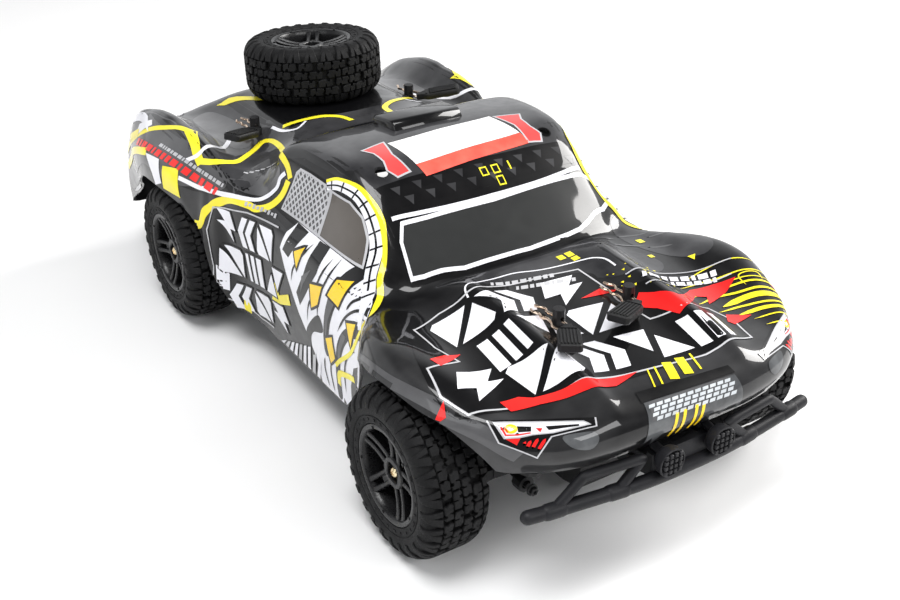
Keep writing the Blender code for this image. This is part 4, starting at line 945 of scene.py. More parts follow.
def roof_film():
    """Smoke and triangles, a blank label with its brackets, and the bands of the rear edge."""
    area("smoke",
         [(-62, -42), (62, -42), (68, -20), (70, 20), (60, 40), (-60, 40), (-70, 20), (-68, -20)],
         layer=0)
    area("black", [(-60, -39), (60, -39), (58, -50), (0, -52.4), (-58, -50)], layer=1)
    for i in range(9):
        for j in range(2):
            x, y = -52 + 12.5 * i + 5 * j, -41.5 - 5.2 * j
            area("smoke", [(x, y), (x + 5.5, y - 0.4), (x + 3.2, y - 4.2)], layer=2)
    for x, y in ((0.0, -44.0), (7.2, -44.0), (7.2, -49.4)):
        stripe("yellow", [(x, y), (x + 3.8, y), (x + 3.8, y - 3.6), (x, y - 3.6)], 0.6, layer=3,
               closed=True, smooth=False)
    stripe("yellow", [(18, -43.5), (18, -47.5)], 0.9, layer=3, smooth=False)
    # A plain paper sticker with a red strip, and the red brackets each side of it.
    area("label", [(-34, -8.5), (33, -4.5), (36.5, -28.5), (-31.5, -33)], layer=3)
    area("label_red", [(-31.5, -33), (36.5, -28.5), (37.4, -37), (-30.2, -41)], layer=3)
    bracket = [(35, -6), (50, -9.5), (46.5, -16), (46, -25), (48, -32), (45, -37.5), (37, -36.5),
               (38.5, -21)]
    for side in (-1, 1):
        outline = to_side(side, bracket)
        area("rose", outline, layer=2)
        stripe("silver", outline, 1.0, layer=3, closed=True, smooth=False)
    area("yellow", [(-48, 33), (-30, 36.5), (30, 36.5), (48, 33), (46, 40.5), (28, 43), (-28, 43),
                    (-46, 40.5)], layer=1, smooth=True)
    stripe("white", [(-56, 40), (-30, 48), (0, 49.5), (30, 48), (56, 40)], 1.6, layer=2)


def window_film():
    """Side windows with their frame, the arc with ticks before them, and the yellow line."""
    area("black", [(-71, 99), (-65, 108), (-57.5, 118.5), (-50, 127), (-42, 133.5), (-32, 138),
                   (-12, 139.5), (12, 139.5), (26, 135), (30, 120), (32, 103.5), (13, 101),
                   (4.5, 108.2), (-16, 107.8), (-38, 106.6), (-60, 104.8), (-66, 99.8)], "side", 0)
    pane = [(-57, 106.2), (-50.5, 117.5), (-42.5, 125.5), (-32, 130), (-18, 131.4), (-18, 108.6),
            (-38, 107.4)]
    net = [(-17, 108.6), (-17, 132.5), (2, 133.8), (12, 133.6), (15.5, 130.5), (19, 120),
           (23, 108.8), (4, 109.2)]
    area("window", pane, "side", 1)
    area("grey", net, "side", 1)
    hatch("silver", net, 48, 3.1, 1.15, "side", 2)
    hatch("silver", net, -48, 3.1, 1.15, "side", 3)
    stripe("silver", pane, 1.1, "side", 3, closed=True, smooth=False)
    stripe("silver", net, 1.3, "side", 4, closed=True, smooth=False)
    arc = [(-76, 84), (-72, 92), (-67, 98.5), (-62, 105.5), (-56.5, 114.5), (-50, 122.5),
           (-42, 129.8), (-33, 134.4), (-22, 135.6), (-13, 133)]
    stripe("white", arc, 4.8, "side", 4)
    stripe("black", arc[2:], 0.8, "side", 5)
    fine = smooth_flat(arc, 4)
    for i in range(7, len(fine) - 2, 3):
        here, beyond = Vector(fine[i]), Vector(fine[i + 1])
        across = Vector((here.y - beyond.y, beyond.x - here.x)).normalized() * 2.3
        stripe("black", [tuple(here - across), tuple(here + across)], 0.9, "side", 5, smooth=False)
    stripe("yellow", [(-81, 93), (-75, 96), (-69, 101.5), (-64, 109), (-57.5, 118), (-50, 126.8),
                      (-41, 133.6), (-31, 138), (-20, 138.4), (-12, 135)], 1.5, "side", 5)


def door_film():
    """Abstract white swooshes and yellow facets on the front of the door, blocks behind them."""
    area("white", [(-82, 90), (-74, 95), (-66, 99.5), (-60, 104.6), (-38, 106.4), (-16, 107.6),
                   (4, 108), (12, 100), (16, 90), (9, 79), (2, 70), (-6, 60), (-14, 51), (-20, 42),
                   (-24, 25), (-58, 25), (-67, 36), (-73, 50), (-78, 66), (-82, 80)], "side", 0)
    dark = [[(-62, 104), (-50, 88), (-42, 70), (-38, 50), (-34, 52), (-36, 72), (-42, 90),
             (-52, 105)],
            [(-30, 107), (-26, 92), (-14, 74), (-8, 66), (-4, 72), (-12, 86), (-20, 107)],
            [(-80, 80), (-66, 74), (-56, 62), (-50, 46), (-48, 28), (-43, 28), (-46, 50), (-52, 68),
             (-64, 80), (-79, 86)],
            [(-34, 62), (-22, 56), (-18, 46), (-24, 30), (-20, 42), (-13, 51), (-20, 62),
             (-30, 70)], [(-8, 107), (0, 96), (6, 88), (13, 90), (8, 100), (4, 108)],
            [(-74, 62), (-68, 58), (-62, 44), (-60, 32), (-65, 38), (-72, 52)]]
    for outline in dark:
        area("black", outline, "side", 1, smooth=len(outline) > 7)
    for outline in ([(-46, 84), (-40, 72), (-37, 58), (-36, 72), (-40, 86)],
                    [(-20, 92), (-12, 80), (-9, 74), (-10, 84)],
                    [(-60, 72), (-53, 60), (-49, 46), (-50, 60), (-55, 72)]):
        area("grey", outline, "side", 2)
    swooshes = [[(-78, 92), (-68, 90), (-58, 82), (-50, 70)],
                [(-72, 70), (-62, 62), (-56, 50), (-54, 34)],
                [(-42, 106), (-36, 92), (-30, 80), (-28, 66)],
                [(-36, 104), (-30, 92), (-24, 80), (-18, 70), (-16, 60)],
                [(-16, 104), (-8, 94), (0, 84), (2, 76)], [(-40, 46), (-38, 38), (-39, 27)],
                [(-33, 46), (-31, 38), (-33, 27)], [(-58, 98), (-52, 94), (-46, 96)],
                [(-68, 96), (-62, 92), (-58, 86)]]
    for path in swooshes:
        stripe("black", path, 1.5, "side", 2, pointed=True)
    facets = [
        [(-57, 100), (-45, 96.5), (-39, 86), (-50, 84)],
        [(-33, 88), (-20, 84), (-22, 71), (-29, 76)],
        [(-70, 84), (-60, 80), (-66, 69)],
        [(-44, 64), (-37, 60), (-40, 46), (-46, 52)],
        [(-10, 100), (0, 94), (-4, 86)],
    ]
    for outline in facets:
        stripe("black", outline, 3.0, "side", 2, closed=True, smooth=False)
        area("amber", outline, "side", 3)
    area("yellow", [(6, 66), (18, 60), (22, 68), (27, 57), (30, 50), (16, 55), (4, 60)], "side", 3)
    stripe("yellow", [(-80, 90), (-77, 84), (-72, 75), (-65, 65), (-52, 54), (-46, 48)], 2.4,
           "side", 3)
    stripe("yellow", [(-68, 51), (-58, 48), (-49, 44), (-47, 36)], 3.6, "side", 3)
    for i in range(9):
        y, top = -22 + 5.6 * i, 44 - 2.2 * abs(i - 2)
        area("silver" if i % 3 == 1 else "white",
             [(y, 26), (y + 3.4, 26), (y - 1.6, top - 2), (y - 5.4, top)], "side", 4)
    rows = [
        ((24, 96), (44, 94), 19.0, (WEDGE_PAIR, CHEVRONS, LIGHTNING)),
        ((12, 76), (36, 73), 18.0, (TRIANGLES, SLASHES, WEDGE_PAIR)),
        ((8, 55), (32, 51), 17.0, (LIGHTNING, WEDGE_PAIR, CHEVRONS, TRIANGLES)),
    ]
    for (y0, z0), (y1, z1), height, shapes in rows:
        step = Vector((y1 - y0, z1 - z0))
        for i, shape in enumerate(shapes):
            corner = Vector((y0, z0)) + step * i
            far = corner + step * 0.86
            drop = Vector((1.6, -height))
            print_block("white", shape, [corner, far, far + drop, corner + drop], "side", 5, 1.0)
    stripe("silver",
           [(20, 99.5), (52, 97), (84, 90), (90, 74), (86, 52), (88, 33), (50, 29), (34, 31)], 0.9,
           "side", 5, smooth=False)
    area("yellow", [(62, 27), (68, 28), (67, 35), (61, 34)], "side", 5)
    for i in range(9):
        stripe("silver", [(26 + 3.4 * i, 103.4 - 0.25 * i), (28.2 + 3.4 * i, 103.1 - 0.25 * i)],
               1.4 if i % 2 else 2.2, "side", 5, smooth=False)


def rear_side_film():
    """Ribbons and tick rows over the rear fenders, their panels, and the front arch's lip."""
    stripe("yellow", [(-64, 27), (-58, 34), (-54, 48), (-50, 70), (-47, 88), (-48, 99), (-54, 102),
                      (-66, 94), (-77, 87), (-84, 87), (-90, 92), (-95, 100)], 4.4, "rail", 2)
    stripe("yellow", [(-96, 98), (-92, 105), (-87, 113), (-82, 127)], 7.0, "rail", 2)
    stripe("yellow",
           [(-82, 124), (-86, 136), (-94, 149), (-100, 158), (-108, 170), (-118, 188), (-122, 206)],
           4.0, "rail", 2)
    stripe("yellow", [(-134, 89), (-131, 84), (-122, 83), (-112, 77), (-103, 67), (-97, 50),
                      (-95, 42), (-86, 33), (-76, 28), (-66, 28)], 5.0, "rail", 2)
    stripe("white",
           [(-63, 33), (-68, 36), (-76, 36), (-91, 48), (-103, 74), (-110, 92), (-115, 108)], 3.0,
           "rail", 3)
    stripe("white", [(-62, 136), (-67, 122), (-78, 107), (-90, 103), (-101, 109)], 2.8, "rail", 3)
    area("white", [(-97, 160), (-94, 165), (-103, 181), (-113, 178)], "rail", 3)
    area("yellow", [(-116, 125), (-110, 111), (-126, 103), (-129, 121)], "rail", 4)
    area("white", [(-114, 131), (-117, 148), (-126, 134), (-131, 129), (-127, 123)], "rail", 4)
    ticks("red", (-107, 77), (-0.8, 7.0), 15, 5.6, "rail", 4)
    ticks("silver", (-99, 74), (-0.5, 4.4), 18, 2.8, "rail", 4)
    area("grey", [(33, 124), (36, 128), (46, 121), (60, 117), (84, 114), (70, 107), (54, 106),
                  (42, 109.5), (34, 117)], "side", 1, smooth=True)
    area("grey", [(74, 108), (92, 116), (118, 122), (150, 123.5), (180, 118), (214, 98), (236, 66),
                  (240, 46), (222, 52), (196, 70), (166, 90), (150, 97), (120, 96), (92, 98),
                  (80, 101)], "side", 1, smooth=True)
    stripe("black", [(76, 100), (96, 97), (108, 96)], 3.0, "side", 2, pointed=True)
    for path, width in (([(150, 105), (175, 97), (205, 82), (236, 62)], 4.4),
                        ([(176, 108), (192, 100), (218, 85), (238, 70)], 3.8)):
        stripe("yellow", path, width, "side", 4)
    stripe("white", [(158, 114), (174, 116), (192, 111.5), (212, 100), (230, 84)], 4.6, "side", 3,
           pointed=True)
    stripe("white", [(80, 53), (81, 38)], 8.0, "side", 4, smooth=False)
    stripe("silver", [(186, 70), (205, 60), (230, 46)], 2.4, "side", 3, pointed=True)
    # Lip of the front wheel arch.
    stripe("grey", [(-84, 62), (-89, 72), (-96, 81), (-107, 87), (-120, 90.5), (-136, 92),
                    (-152, 91.2), (-168, 88.8), (-184, 84.8), (-196, 79)], 7.0, "side", 1)


def bed_film():
    """Film on the load bed and the fender tops, seen from above."""
    area("smoke", [(-88, 62), (-60, 60), (60, 60), (88, 62), (104, 100), (106, 170), (98, 228),
                   (-98, 228), (-106, 170), (-104, 100)], layer=0, smooth=True)
    area("black",
         [(-38, 88), (38, 88), (48, 110), (50, 160), (42, 190), (-42, 190), (-50, 160), (-48, 110)],
         layer=1, smooth=True)
    for side in (-1, 1):
        area("grey",
             to_side(side, [(58, 108), (72, 104), (76, 130), (74, 168), (60, 176), (55, 140)]),
             layer=1, smooth=True)
        stripe("white", to_side(side, [(48, 106), (46.5, 92), (42, 84), (34, 88)]), 1.6, layer=3)
        stripe("yellow", to_side(side, [(45, 97), (32, 90), (22, 86), (15, 80), (13, 70)]), 3.6,
               layer=3)
        stripe("yellow", to_side(side, [(54, 178), (47, 168), (39, 155), (30, 138)]), 5.0, layer=3,
               pointed=True)
        stripe("white", to_side(side, [(74, 190), (68, 206), (60, 222)]), 5.0, layer=3,
               pointed=True)
        for i in range(9):
            x, y = 60 + 2.6 * i, 52 + 2.2 * i
            stripe("silver", to_side(side, [(x, y), (x + 1.4, y + 2.8)]), 1.0, layer=4,
                   smooth=False)
    stripe("yellow", [(-40, 212), (-18, 217), (6, 216), (30, 226)], 6.0, layer=3, pointed=True)
    stripe("red", [(-30, 203), (0, 206), (34, 200)], 2.6, layer=3, pointed=True)


def tail_film():
    """Generic graphics on the tailgate."""
    area("smoke", [(-70, 84), (70, 84), (78, 40), (-78, 40)], "tail", 0)
    for side in (-1, 1):
        lamp = to_side(side, [(68, 78), (88, 76), (87, 62), (72, 60)])
        area("red", lamp, "tail", 2)
        stripe("silver", lamp, 1.0, "tail", 3, closed=True, smooth=False)
        stripe("yellow", to_side(side, [(60, 80), (46, 66), (30, 60), (16, 48)]), 3.6, "tail", 2,
               pointed=True)
        stripe("white", to_side(side, [(56, 54), (40, 46), (20, 40)]), 2.0, "tail", 2, pointed=True)


def build_film():
    """All the graphics, then one object for each colour of film."""
    hood_film()
    nose_film()
    roof_film()
    window_film()
    door_film()
    rear_side_film()
    bed_film()
    tail_film()
    for name, sheet in SHEETS.items():
        if sheet.faces:
            piece = make_piece("shell_film_" + name, sheet.vertices, sheet.faces, FILMS[name],
                               normals=sheet.normals)
            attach(piece, "chassis")


# ---------------------------------------------------------------- wheels

# A wheel is drawn about the X axis with its outer face towards +X.

def tread_top(along):
    """Radius of the tread's crown across the tyre."""
    return TYRE_RADIUS - 1.7 * (max(0.0, abs(along) - 7.0) / 7.6) ** 2.2


def polar(along, radius, angle):
    """A point round the X axis."""
    return Vector((along, radius * math.cos(angle), radius * math.sin(angle)))


TREAD_SHAPES = [[(-2.1, -3.7), (1.1, -4.0), (2.1, -2.4), (2.1, 0.6), (0.8, 0.9), (0.7, 2.3),
                 (2.1, 2.7), (1.5, 3.9), (-1.6, 3.7), (-2.2, 1.8), (-2.1, 0.5), (0.0, 0.35),
                 (0.0, -0.35), (-2.1, -0.4)],
                [(-1.5, -3.9), (2.0, -3.5), (2.1, -1.0), (0.3, -0.8), (0.3, -0.1), (2.1, 0.1),
                 (2.2, 3.2), (0.6, 4.0), (-0.6, 2.9), (-2.1, 3.3), (-2.1, -0.6), (-1.0, -1.2),
                 (-1.0, -2.3), (-2.2, -2.6)]]


def tyre_solid():
    """Carcass, four rows of keyed blocks, shoulder lugs down the walls, and marks by the bead."""
    tyre = Solid()
    half = [(12.0, 25.3), (15.0, 25.0), (15.9, 25.4), (16.15, 26.3), (16.25, 29.0), (15.9, 29.25),
            (15.9, 29.6), (16.3, 29.9), (16.7, 31.4), (16.8, 33.4), (16.4, 35.8), (15.3, 37.8),
            (13.5, 39.0), (10.5, 39.5), (5.0, 39.8), (0.0, 39.9)]
    inner = [(0.0, 37.4), (10.5, 37.0), (12.0, 35.0)]
    loop = half + [(-a, r) for a, r in reversed(half[:-1])]
    loop += [(-a, r) for a, r in reversed(inner[1:])] + inner
    tyre.turn(loop, 104)
    pitch = 2 * math.pi / TREAD_PITCHES
    for row, middle in enumerate((-7.7, -2.6, 2.6, 7.7)):
        for i in range(TREAD_PITCHES):
            start = (i + (0.5, 0.08, 0.58, 0.0)[row] + 0.07 * math.sin(2.4 * i + row)) * pitch
            shape = TREAD_SHAPES[(i * i // 3 + row) % 2]
            if row > 1:
                shape = [(-a, -s) for a, s in shape]

            def crown(a, s, height):
                along = middle + a * 1.08
                return polar(along, tread_top(along) + height, start + s * 1.12 / TYRE_RADIUS)

            tyre.block(shape, crown, [(-TREAD_DEPTH - 0.6, 0.0), (-0.4, 0.0), (0.0, 0.35)])
    outside = [(10.7, 42.0), (12.8, 41.2), (14.7, 39.9), (16.2, 38.0), (17.0, 36.0), (17.25, 34.4),
               (17.2, 33.2)]
    under = [(10.7, 38.4), (12.2, 37.9), (13.6, 37.0), (14.7, 35.8), (15.4, 34.6), (15.8, 33.6),
             (16.0, 32.8)]
    for side in (-1, 1):
        for i in range(TREAD_PITCHES):
            for part, (offset, width, reach) in enumerate(((0.0, 0.44, 7), (0.56, 0.3, 5 + i % 2))):
                start = (i + offset + (0.3 if side > 0 else 0.0)) * pitch
                rings = []
                for k in range(reach):
                    (a, r), (b, q) = outside[k], under[k]
                    slim = width * pitch * (1.0 - 0.05 * k) / 2
                    edge = 0.35 / r
                    bend = 0.012 * k * (1 if part == 1 else -1)
                    middle = start + width * pitch / 2 + bend
                    first, last = middle - slim, middle + slim
                    section = [(b, q, first), (a - 0.15, r - 0.4, first), (a, r, first + edge),
                               (a, r, last - edge), (a - 0.15, r - 0.4, last), (b, q, last)]
                    rings.append([polar(side * along, radius, t) for along, radius, t in section])
                tyre.skin(rings)
        for i in range(28):
            span = (0.02, 0.035, 0.02, 0.05)[i % 4]
            start = i * 2 * math.pi / 28
            outline = [(26.9, -span), (28.2, -span), (28.2, span), (26.9, span)]
            tyre.block(outline, lambda r, t, height: polar(side * height, r, start + t),
                       [(15.6, 0.0), (16.4, 0.0), (16.5, 0.02)])
    return tyre


def rounded_square(half, count, along):
    """A ring of points round a square with rounded corners."""
    power = 5.0
    points = []
    for i in range(count):
        t = 2 * math.pi * i / count
        reach = half / (abs(math.cos(t)) ** power + abs(math.sin(t)) ** power) ** (1 / power)
        points.append(polar(along, reach, t))
    return points


def rim_solid():
    """Barrel, paired spokes with a rib behind each, bead bolts, and the hub's square seat."""
    rim = Solid()
    rim.turn([(-14.5, 24.7), (14.4, 24.7), (15.3, 25.1), (15.7, 24.7), (15.75, 23.6), (15.3, 22.6),
              (14.3, 22.0), (12.5, 21.6), (-13.5, 21.3), (-14.5, 22.0)], 96)
    for i in range(SPOKES):
        angle = 2 * math.pi * i / SPOKES + math.pi / 2
        for offset in (-2.75, 2.75):
            rings = []
            for r, top, width in ((5.8, 11.3, 1.25), (9.0, 11.5, 1.2), (14.0, 12.2, 1.15),
                                  (18.5, 13.3, 1.25), (22.0, 14.6, 1.6)):
                low = top - 3.6
                ring = []
                for a, s in ((low, -width), (top - 0.5, -width), (top, -width + 0.5),
                             (top, width - 0.5), (top - 0.5, width), (low, width)):
                    ring.append(Vector((a, r * math.cos(angle) - (s + offset) * math.sin(angle),
                                        r * math.sin(angle) + (s + offset) * math.cos(angle))))
                rings.append(ring)
            rim.skin(rings)
        rings = []
        for r, top, width in ((6.0, 9.8, 1.6), (12.0, 10.2, 1.6), (15.5, 10.8, 1.6)):
            rings.append([Vector((a, r * math.cos(angle) - s * math.sin(angle),
                                  r * math.sin(angle) + s * math.cos(angle)))
                          for a, s in ((top - 1.5, -width), (top, -width), (top, width),
                                       (top - 1.5, width))])
        rim.skin(rings)
        bolt = angle + math.pi / SPOKES
        rim.skin([[Vector((a, 23.4 * math.cos(bolt) + r * math.cos(t),
                           23.4 * math.sin(bolt) + r * math.sin(t)))
                   for t in (2 * math.pi * k / 12 for k in range(12))]
                  for a, r in ((15.2, 0.8), (16.0, 0.8), (16.2, 0.5))])
    count = 40
    rings = [[polar(a, r, 2 * math.pi * k / count) for k in range(count)]
             for a, r in ((5.0, 7.4), (5.0, 8.4), (11.2, 8.2), (12.0, 7.6))]
    rings += [rounded_square(4.9, count, 12.1), rounded_square(4.5, count, 11.6),
              rounded_square(4.3, count, 9.0)]
    rim.skin(rings)
    return rim


def axle_solid():
    """Stub axle with its drive hex, out to the wheel screw's seat."""
    axle = Solid()
    axle.turn([(-29.4, 0.05), (-29.4, 2.6), (-29.0, 3.0), (9.0, 3.0), (9.0, 0.05)], 28)
    flats = 6.0 / math.cos(math.pi / 6)
    axle.skin([[polar(a, r, math.pi / 3 * k) for k in range(6)]
               for a, r in ((-3.0, flats - 0.5), (-2.6, flats), (4.2, flats), (4.6, flats - 0.5))])
    return axle


def screw_mesh():
    """Pan-head screw with a cross recess, on the wheel's axis."""
    head = Solid()
    head.turn([(8.9, 0.05), (8.9, 2.7), (10.4, 2.7), (11.3, 2.4), (11.9, 1.8), (12.2, 1.0),
               (12.25, 0.05)], 32)
    piece = head.piece("screw", BRASS)
    cross = Solid()
    recess = [(-0.36, -1.6), (0.36, -1.6), (0.36, -0.36), (1.6, -0.36), (1.6, 0.36), (0.36, 0.36),
              (0.36, 1.6), (-0.36, 1.6), (-0.36, 0.36), (-1.6, 0.36), (-1.6, -0.36), (-0.36, -0.36)]
    cross.skin([[Vector((a, y * s, z * s)) for y, z in recess]
                for a, s in ((11.3, 0.7), (13.0, 1.15))])
    cut(piece, cross.piece("cross", BRASS))
    mesh = piece.data
    bpy.data.objects.remove(piece)
    mesh.set_sharp_from_angle(angle=math.radians(30.0))
    return mesh


def wheel_corners():
    """Each wheel's name, side and end, and the matrix that moves axle-centred shapes there."""
    for end in (-1, 1):
        for side in (-1, 1):
            name = ("front" if end < 0 else "rear") + ("_left" if side > 0 else "_right")
            yield name, side, end, Matrix(((side, 0, 0, 0), (0, end, 0, end * AXLE_Y), (0, 0, 1, 0),
                                           (0, 0, 0, 1)))


def build_wheels():
    """Four wheels, each turned to its own angle, and the spare in the bed."""
    tyre, rim, axle, screw = tyre_solid(), rim_solid(), axle_solid(), screw_mesh()
    for name, side, end, _ in wheel_corners():
        place = (Matrix.Translation((side * WHEEL_X, end * AXLE_Y, TYRE_RADIUS))
                 @ Matrix.Diagonal((side, 1, 1, 1))
                 @ Matrix.Rotation(math.radians(17.0 * (end + 2) + 8 * side), 4, "X"))
        body = name + "_wheel"
        for solid, word, material, slot, sharp in ((tyre, "_tyre", RUBBER, "tyre", 32.0),
                                                   (rim, "_rim", RIM_PLASTIC, "rim", 32.0),
                                                   (axle, "_axle", BRASS, "brass", 35.0)):
            piece = solid.moved(place).piece(name + word + "_detail", material, slot, sharp)
            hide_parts(name + word)
            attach(piece, body)
        head = bpy.data.objects.new(name + "_wheel_screw", screw.copy())
        # The screw's mesh is already in metres, so its place is undone, turned and put back.
        head.data.transform(TO_ROW_FRAME @ place @ TO_ROW_FRAME.inverted())
        if side < 0:
            head.data.flip_normals()
        bpy.context.scene.collection.objects.link(head)
        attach(head, body)
    spare = node_middle("spare_tyre") / MM - Vector((0, SHIFT_Y, 0))
    place = (Matrix.Translation(spare) @ Matrix.Rotation(-math.radians(4.0), 4, "X")
             @ Matrix.Rotation(-math.pi / 2, 4, "Y") @ Matrix.Rotation(math.radians(24.0), 4, "X"))
    for solid, word, material, slot in ((tyre, "spare_tyre", RUBBER, "tyre"),
                                        (rim, "spare_rim", RIM_PLASTIC, "rim")):
        piece = solid.moved(place).piece(word + "_detail", material, slot, 32.0)
        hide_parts(word)
        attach(piece, "chassis")


# ---------------------------------------------------------------- bumper

BUMPER_SWEEP = 0.13  # slope of the bar where the loops' sleeves sit


def build_bumper():
    """Main bar, two loops with their sleeves, two lamps, and the bracket that carries them."""
    bumper = Solid()
    bar = [Vector(p)
           for p in ((-82, -204.5, 52.5), (-62, -207.8, 52.5), (-28, -212.1, 52.5), (0, -213, 52.5),
                     (28, -212.1, 52.5), (62, -207.8, 52.5), (82, -204.5, 52.5))]
    bumper.tube(refined(bar, 5), 3.3, 22)
    for side in (-1, 1):
        loop = [Vector((side * x, y, z))
                for x, y, z in ((69.5, -206.5, 52.5), (62.5, -207.1, 58.8), (56, -207.5, 64.4),
                                (53.5, -207.8, 65.2), (40, -209.4, 65.2), (28, -211, 65.2),
                                (26, -211, 64.4), (32, -210.9, 58.4), (38.5, -210.9, 52.5))]
        bumper.tube(refined(loop, 3), 2.5, 18)
        for x, y in ((69.5, -206.6), (38.5, -210.9)):
            middle = Vector((side * x, y, 52.5))
            along = Vector((1, side * BUMPER_SWEEP, 0)).normalized()
            bumper.tube([middle - along * 3.6, middle + along * 3.6], 3.75, 22)
        lamp = Solid()
        lamp.turn([(0, 0.05), (0, 4.4), (0.9, 6.3), (2.6, 7.1), (5.2, 7.2), (6.3, 7.2), (6.6, 6.9),
                   (6.6, 6.4), (4.6, 6.2), (4.6, 0.05)], 40)
        for i in range(4):
            for j in range(4):
                y, z = 2.75 * (i - 1.5), 2.75 * (j - 1.5)
                lamp.block([(-1.0, -0.75), (-0.75, -1.0), (0.75, -1.0), (1.0, -0.75), (1.0, 0.75),
                            (0.75, 1.0), (-0.75, 1.0), (-1.0, 0.75)],
                           lambda a, b, height: Vector((height, y + a, z + b)),
                           [(4.2, 0.0), (7.0, 0.0), (7.4, 0.3)])
        to_lamp = Matrix(((0, 1, 0, side * 15.0), (-1, 0, 0, -213.0), (0, 0, 1, 63.5),
                          (0, 0, 0, 1)))
        moved = lamp.moved(to_lamp)
        bumper.add(moved.vertices, moved.faces)
        bumper.tube([(side * 15.2, -209.2, 59.1), (side * 15.2, -214.3, 59.1)], 2.6, 16)
        bumper.tube([(side * 15.2, -207.0, 66.0), (side * 15.2, -213.4, 65.0)], 2.2, 16)
        # A stiffening rib down each edge of the bracket, with its screw boss.
        rib = [(-156, 47.5), (-180, 53.6), (-204, 58.8), (-206, 61.5), (-179, 55.8), (-156, 49.6)]
        bumper.block(rib, lambda y, z, x: Vector((x, y, z)),
                     [(side * x, inset) for x, inset in ((18.8, 0.3), (18.4, 0.0), (16.4, 0.0),
                                                         (16.0, 0.3))])
        bumper.tube([(side * 10.0, -170.0, 46.0), (side * 10.0, -170.0, 52.2)], 3.0, 18)
    bracket = [(-154.3, 38.0), (-154.3, 46.0), (-180.0, 52.0), (-204.0, 57.2), (-206.4, 58.4),
               (-208.0, 64.5), (-211.1, 64.3), (-212.3, 53.0), (-210.6, 52.2), (-180.0, 46.8)]
    bumper.block(bracket, lambda y, z, x: Vector((x, y, z)),
                 [(-19.4, 0.6), (-18.8, 0.0), (18.8, 0.0), (19.4, 0.6)])
    piece = bumper.piece("front_bumper_detail", CHARCOAL, "bumper", 40.0)
    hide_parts("front_bumper")
    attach(piece, "chassis")


# ---------------------------------------------------------------- clips, springs and drive bones

CLIP_LEG = [(-16.5, 1.5), (-14.5, 0.9), (-11.5, -0.7), (-8.5, 0.5), (-5.0, 0.0), (0.0, 0.0),
            (6.0, 0.0), (8.2, 1.0), (9.2, 3.2), (8.2, 5.4), (6.0, 6.3), (3.5, 6.2), (1.0, 4.9),
            (-3.0, 4.3), (-6.0, 5.6), (-9.0, 4.7), (-12.0, 6.2), (-14.5, 5.4)]


def build_clips():
    """Four bent-wire clips, each with a ribbed rubber tab."""
    for post, end in ((FRONT_POST, "front"), (REAR_POST, "rear")):
        for side, hand_name in ((1, "left"), (-1, "right")):
            node = end + "_" + hand_name + "_body_clip"
            low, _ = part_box(node)
            hand = side if end == "rear" else -1
            height = low.z / MM + CLIP_WIRE
            middle = Vector((side * post[0], post[1], height))
            path = refined([middle + Vector((hand * b, -a, 0)) for a, b in CLIP_LEG], 5)
            wire = Solid()
            wire.tube(path, CLIP_WIRE, 12)
            piece = wire.piece(node + "_wire", CLIP_STEEL, "steel", 50.0)
            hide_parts(node)
            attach(piece, node)
            start = middle + Vector((hand * 1.4, -8.6, 0.2))
            turn = NEAR_TAB_TURN if node == "front_right_body_clip" else TAB_TURN
            u = Vector((hand * math.cos(turn), -math.sin(turn), TAB_RISE)).normalized()
            v = Vector((0, 0, 1)).cross(u).normalized()
            w = u.cross(v)
            tab = Solid()

            def at(a, b, c):
                return start + u * a + v * b + w * c

            body = [(-0.6, -1.9), (2.6, -2.3), (6.0, -5.0), (7.4, -5.4), (25.6, -5.6), (27.0, -4.4),
                    (27.0, 4.4), (25.6, 5.6), (7.4, 5.4), (6.0, 5.0), (2.6, 2.3), (-0.6, 1.9)]
            tab.block(body, at, [(-1.9, 0.5), (-1.4, 0.0), (1.4, 0.0), (1.9, 0.5)])
            for k in range(6):
                b = 1.55 * (k - 2.5)
                tab.block([(8.2, b - 0.4), (25.2, b - 0.4), (25.6, b), (25.2, b + 0.4),
                           (8.2, b + 0.4), (7.8, b)], at, [(1.6, 0.0), (2.35, 0.0), (2.55, 0.18)])
            tab.block([(5.2, -3.4), (6.6, -4.0), (6.6, 4.0), (5.2, 3.4)], at,
                      [(1.5, 0.0), (2.2, 0.0), (2.5, 0.25)])
            piece = tab.piece(node + "_tab", TAB_RUBBER, "steel", 35.0)
            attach(piece, node)


def build_springs():
    """Coils that stretch between each shock's body and its rod."""
    top, foot = Vector((34.0, 22.5, 78.0)), Vector((50.0, 22.5, 28.3))
    down = (foot - top).normalized()
    side_way = Vector((0, 1, 0))
    third = down.cross(side_way)
    turns, start_at, stop_at = 7.5, 13.4, 42.6
    coil, wire = 6.75, 0.6
    for name, _, _, corner in wheel_corners():
        path = []
        for i in range(int(turns * 20) + 1):
            t = i / (turns * 20)
            closing = t + 0.035 * math.sin(2 * math.pi * t)
            angle = 2 * math.pi * turns * t
            path.append(top + down * (start_at + (stop_at - start_at) * closing)
                        + (side_way * math.cos(angle) + third * math.sin(angle)) * coil)
        spring = Solid()
        spring.tube(path, wire, 8)
        piece = spring.moved(corner).piece(name + "_spring", STEEL, "steel", 60.0)
        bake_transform(piece)


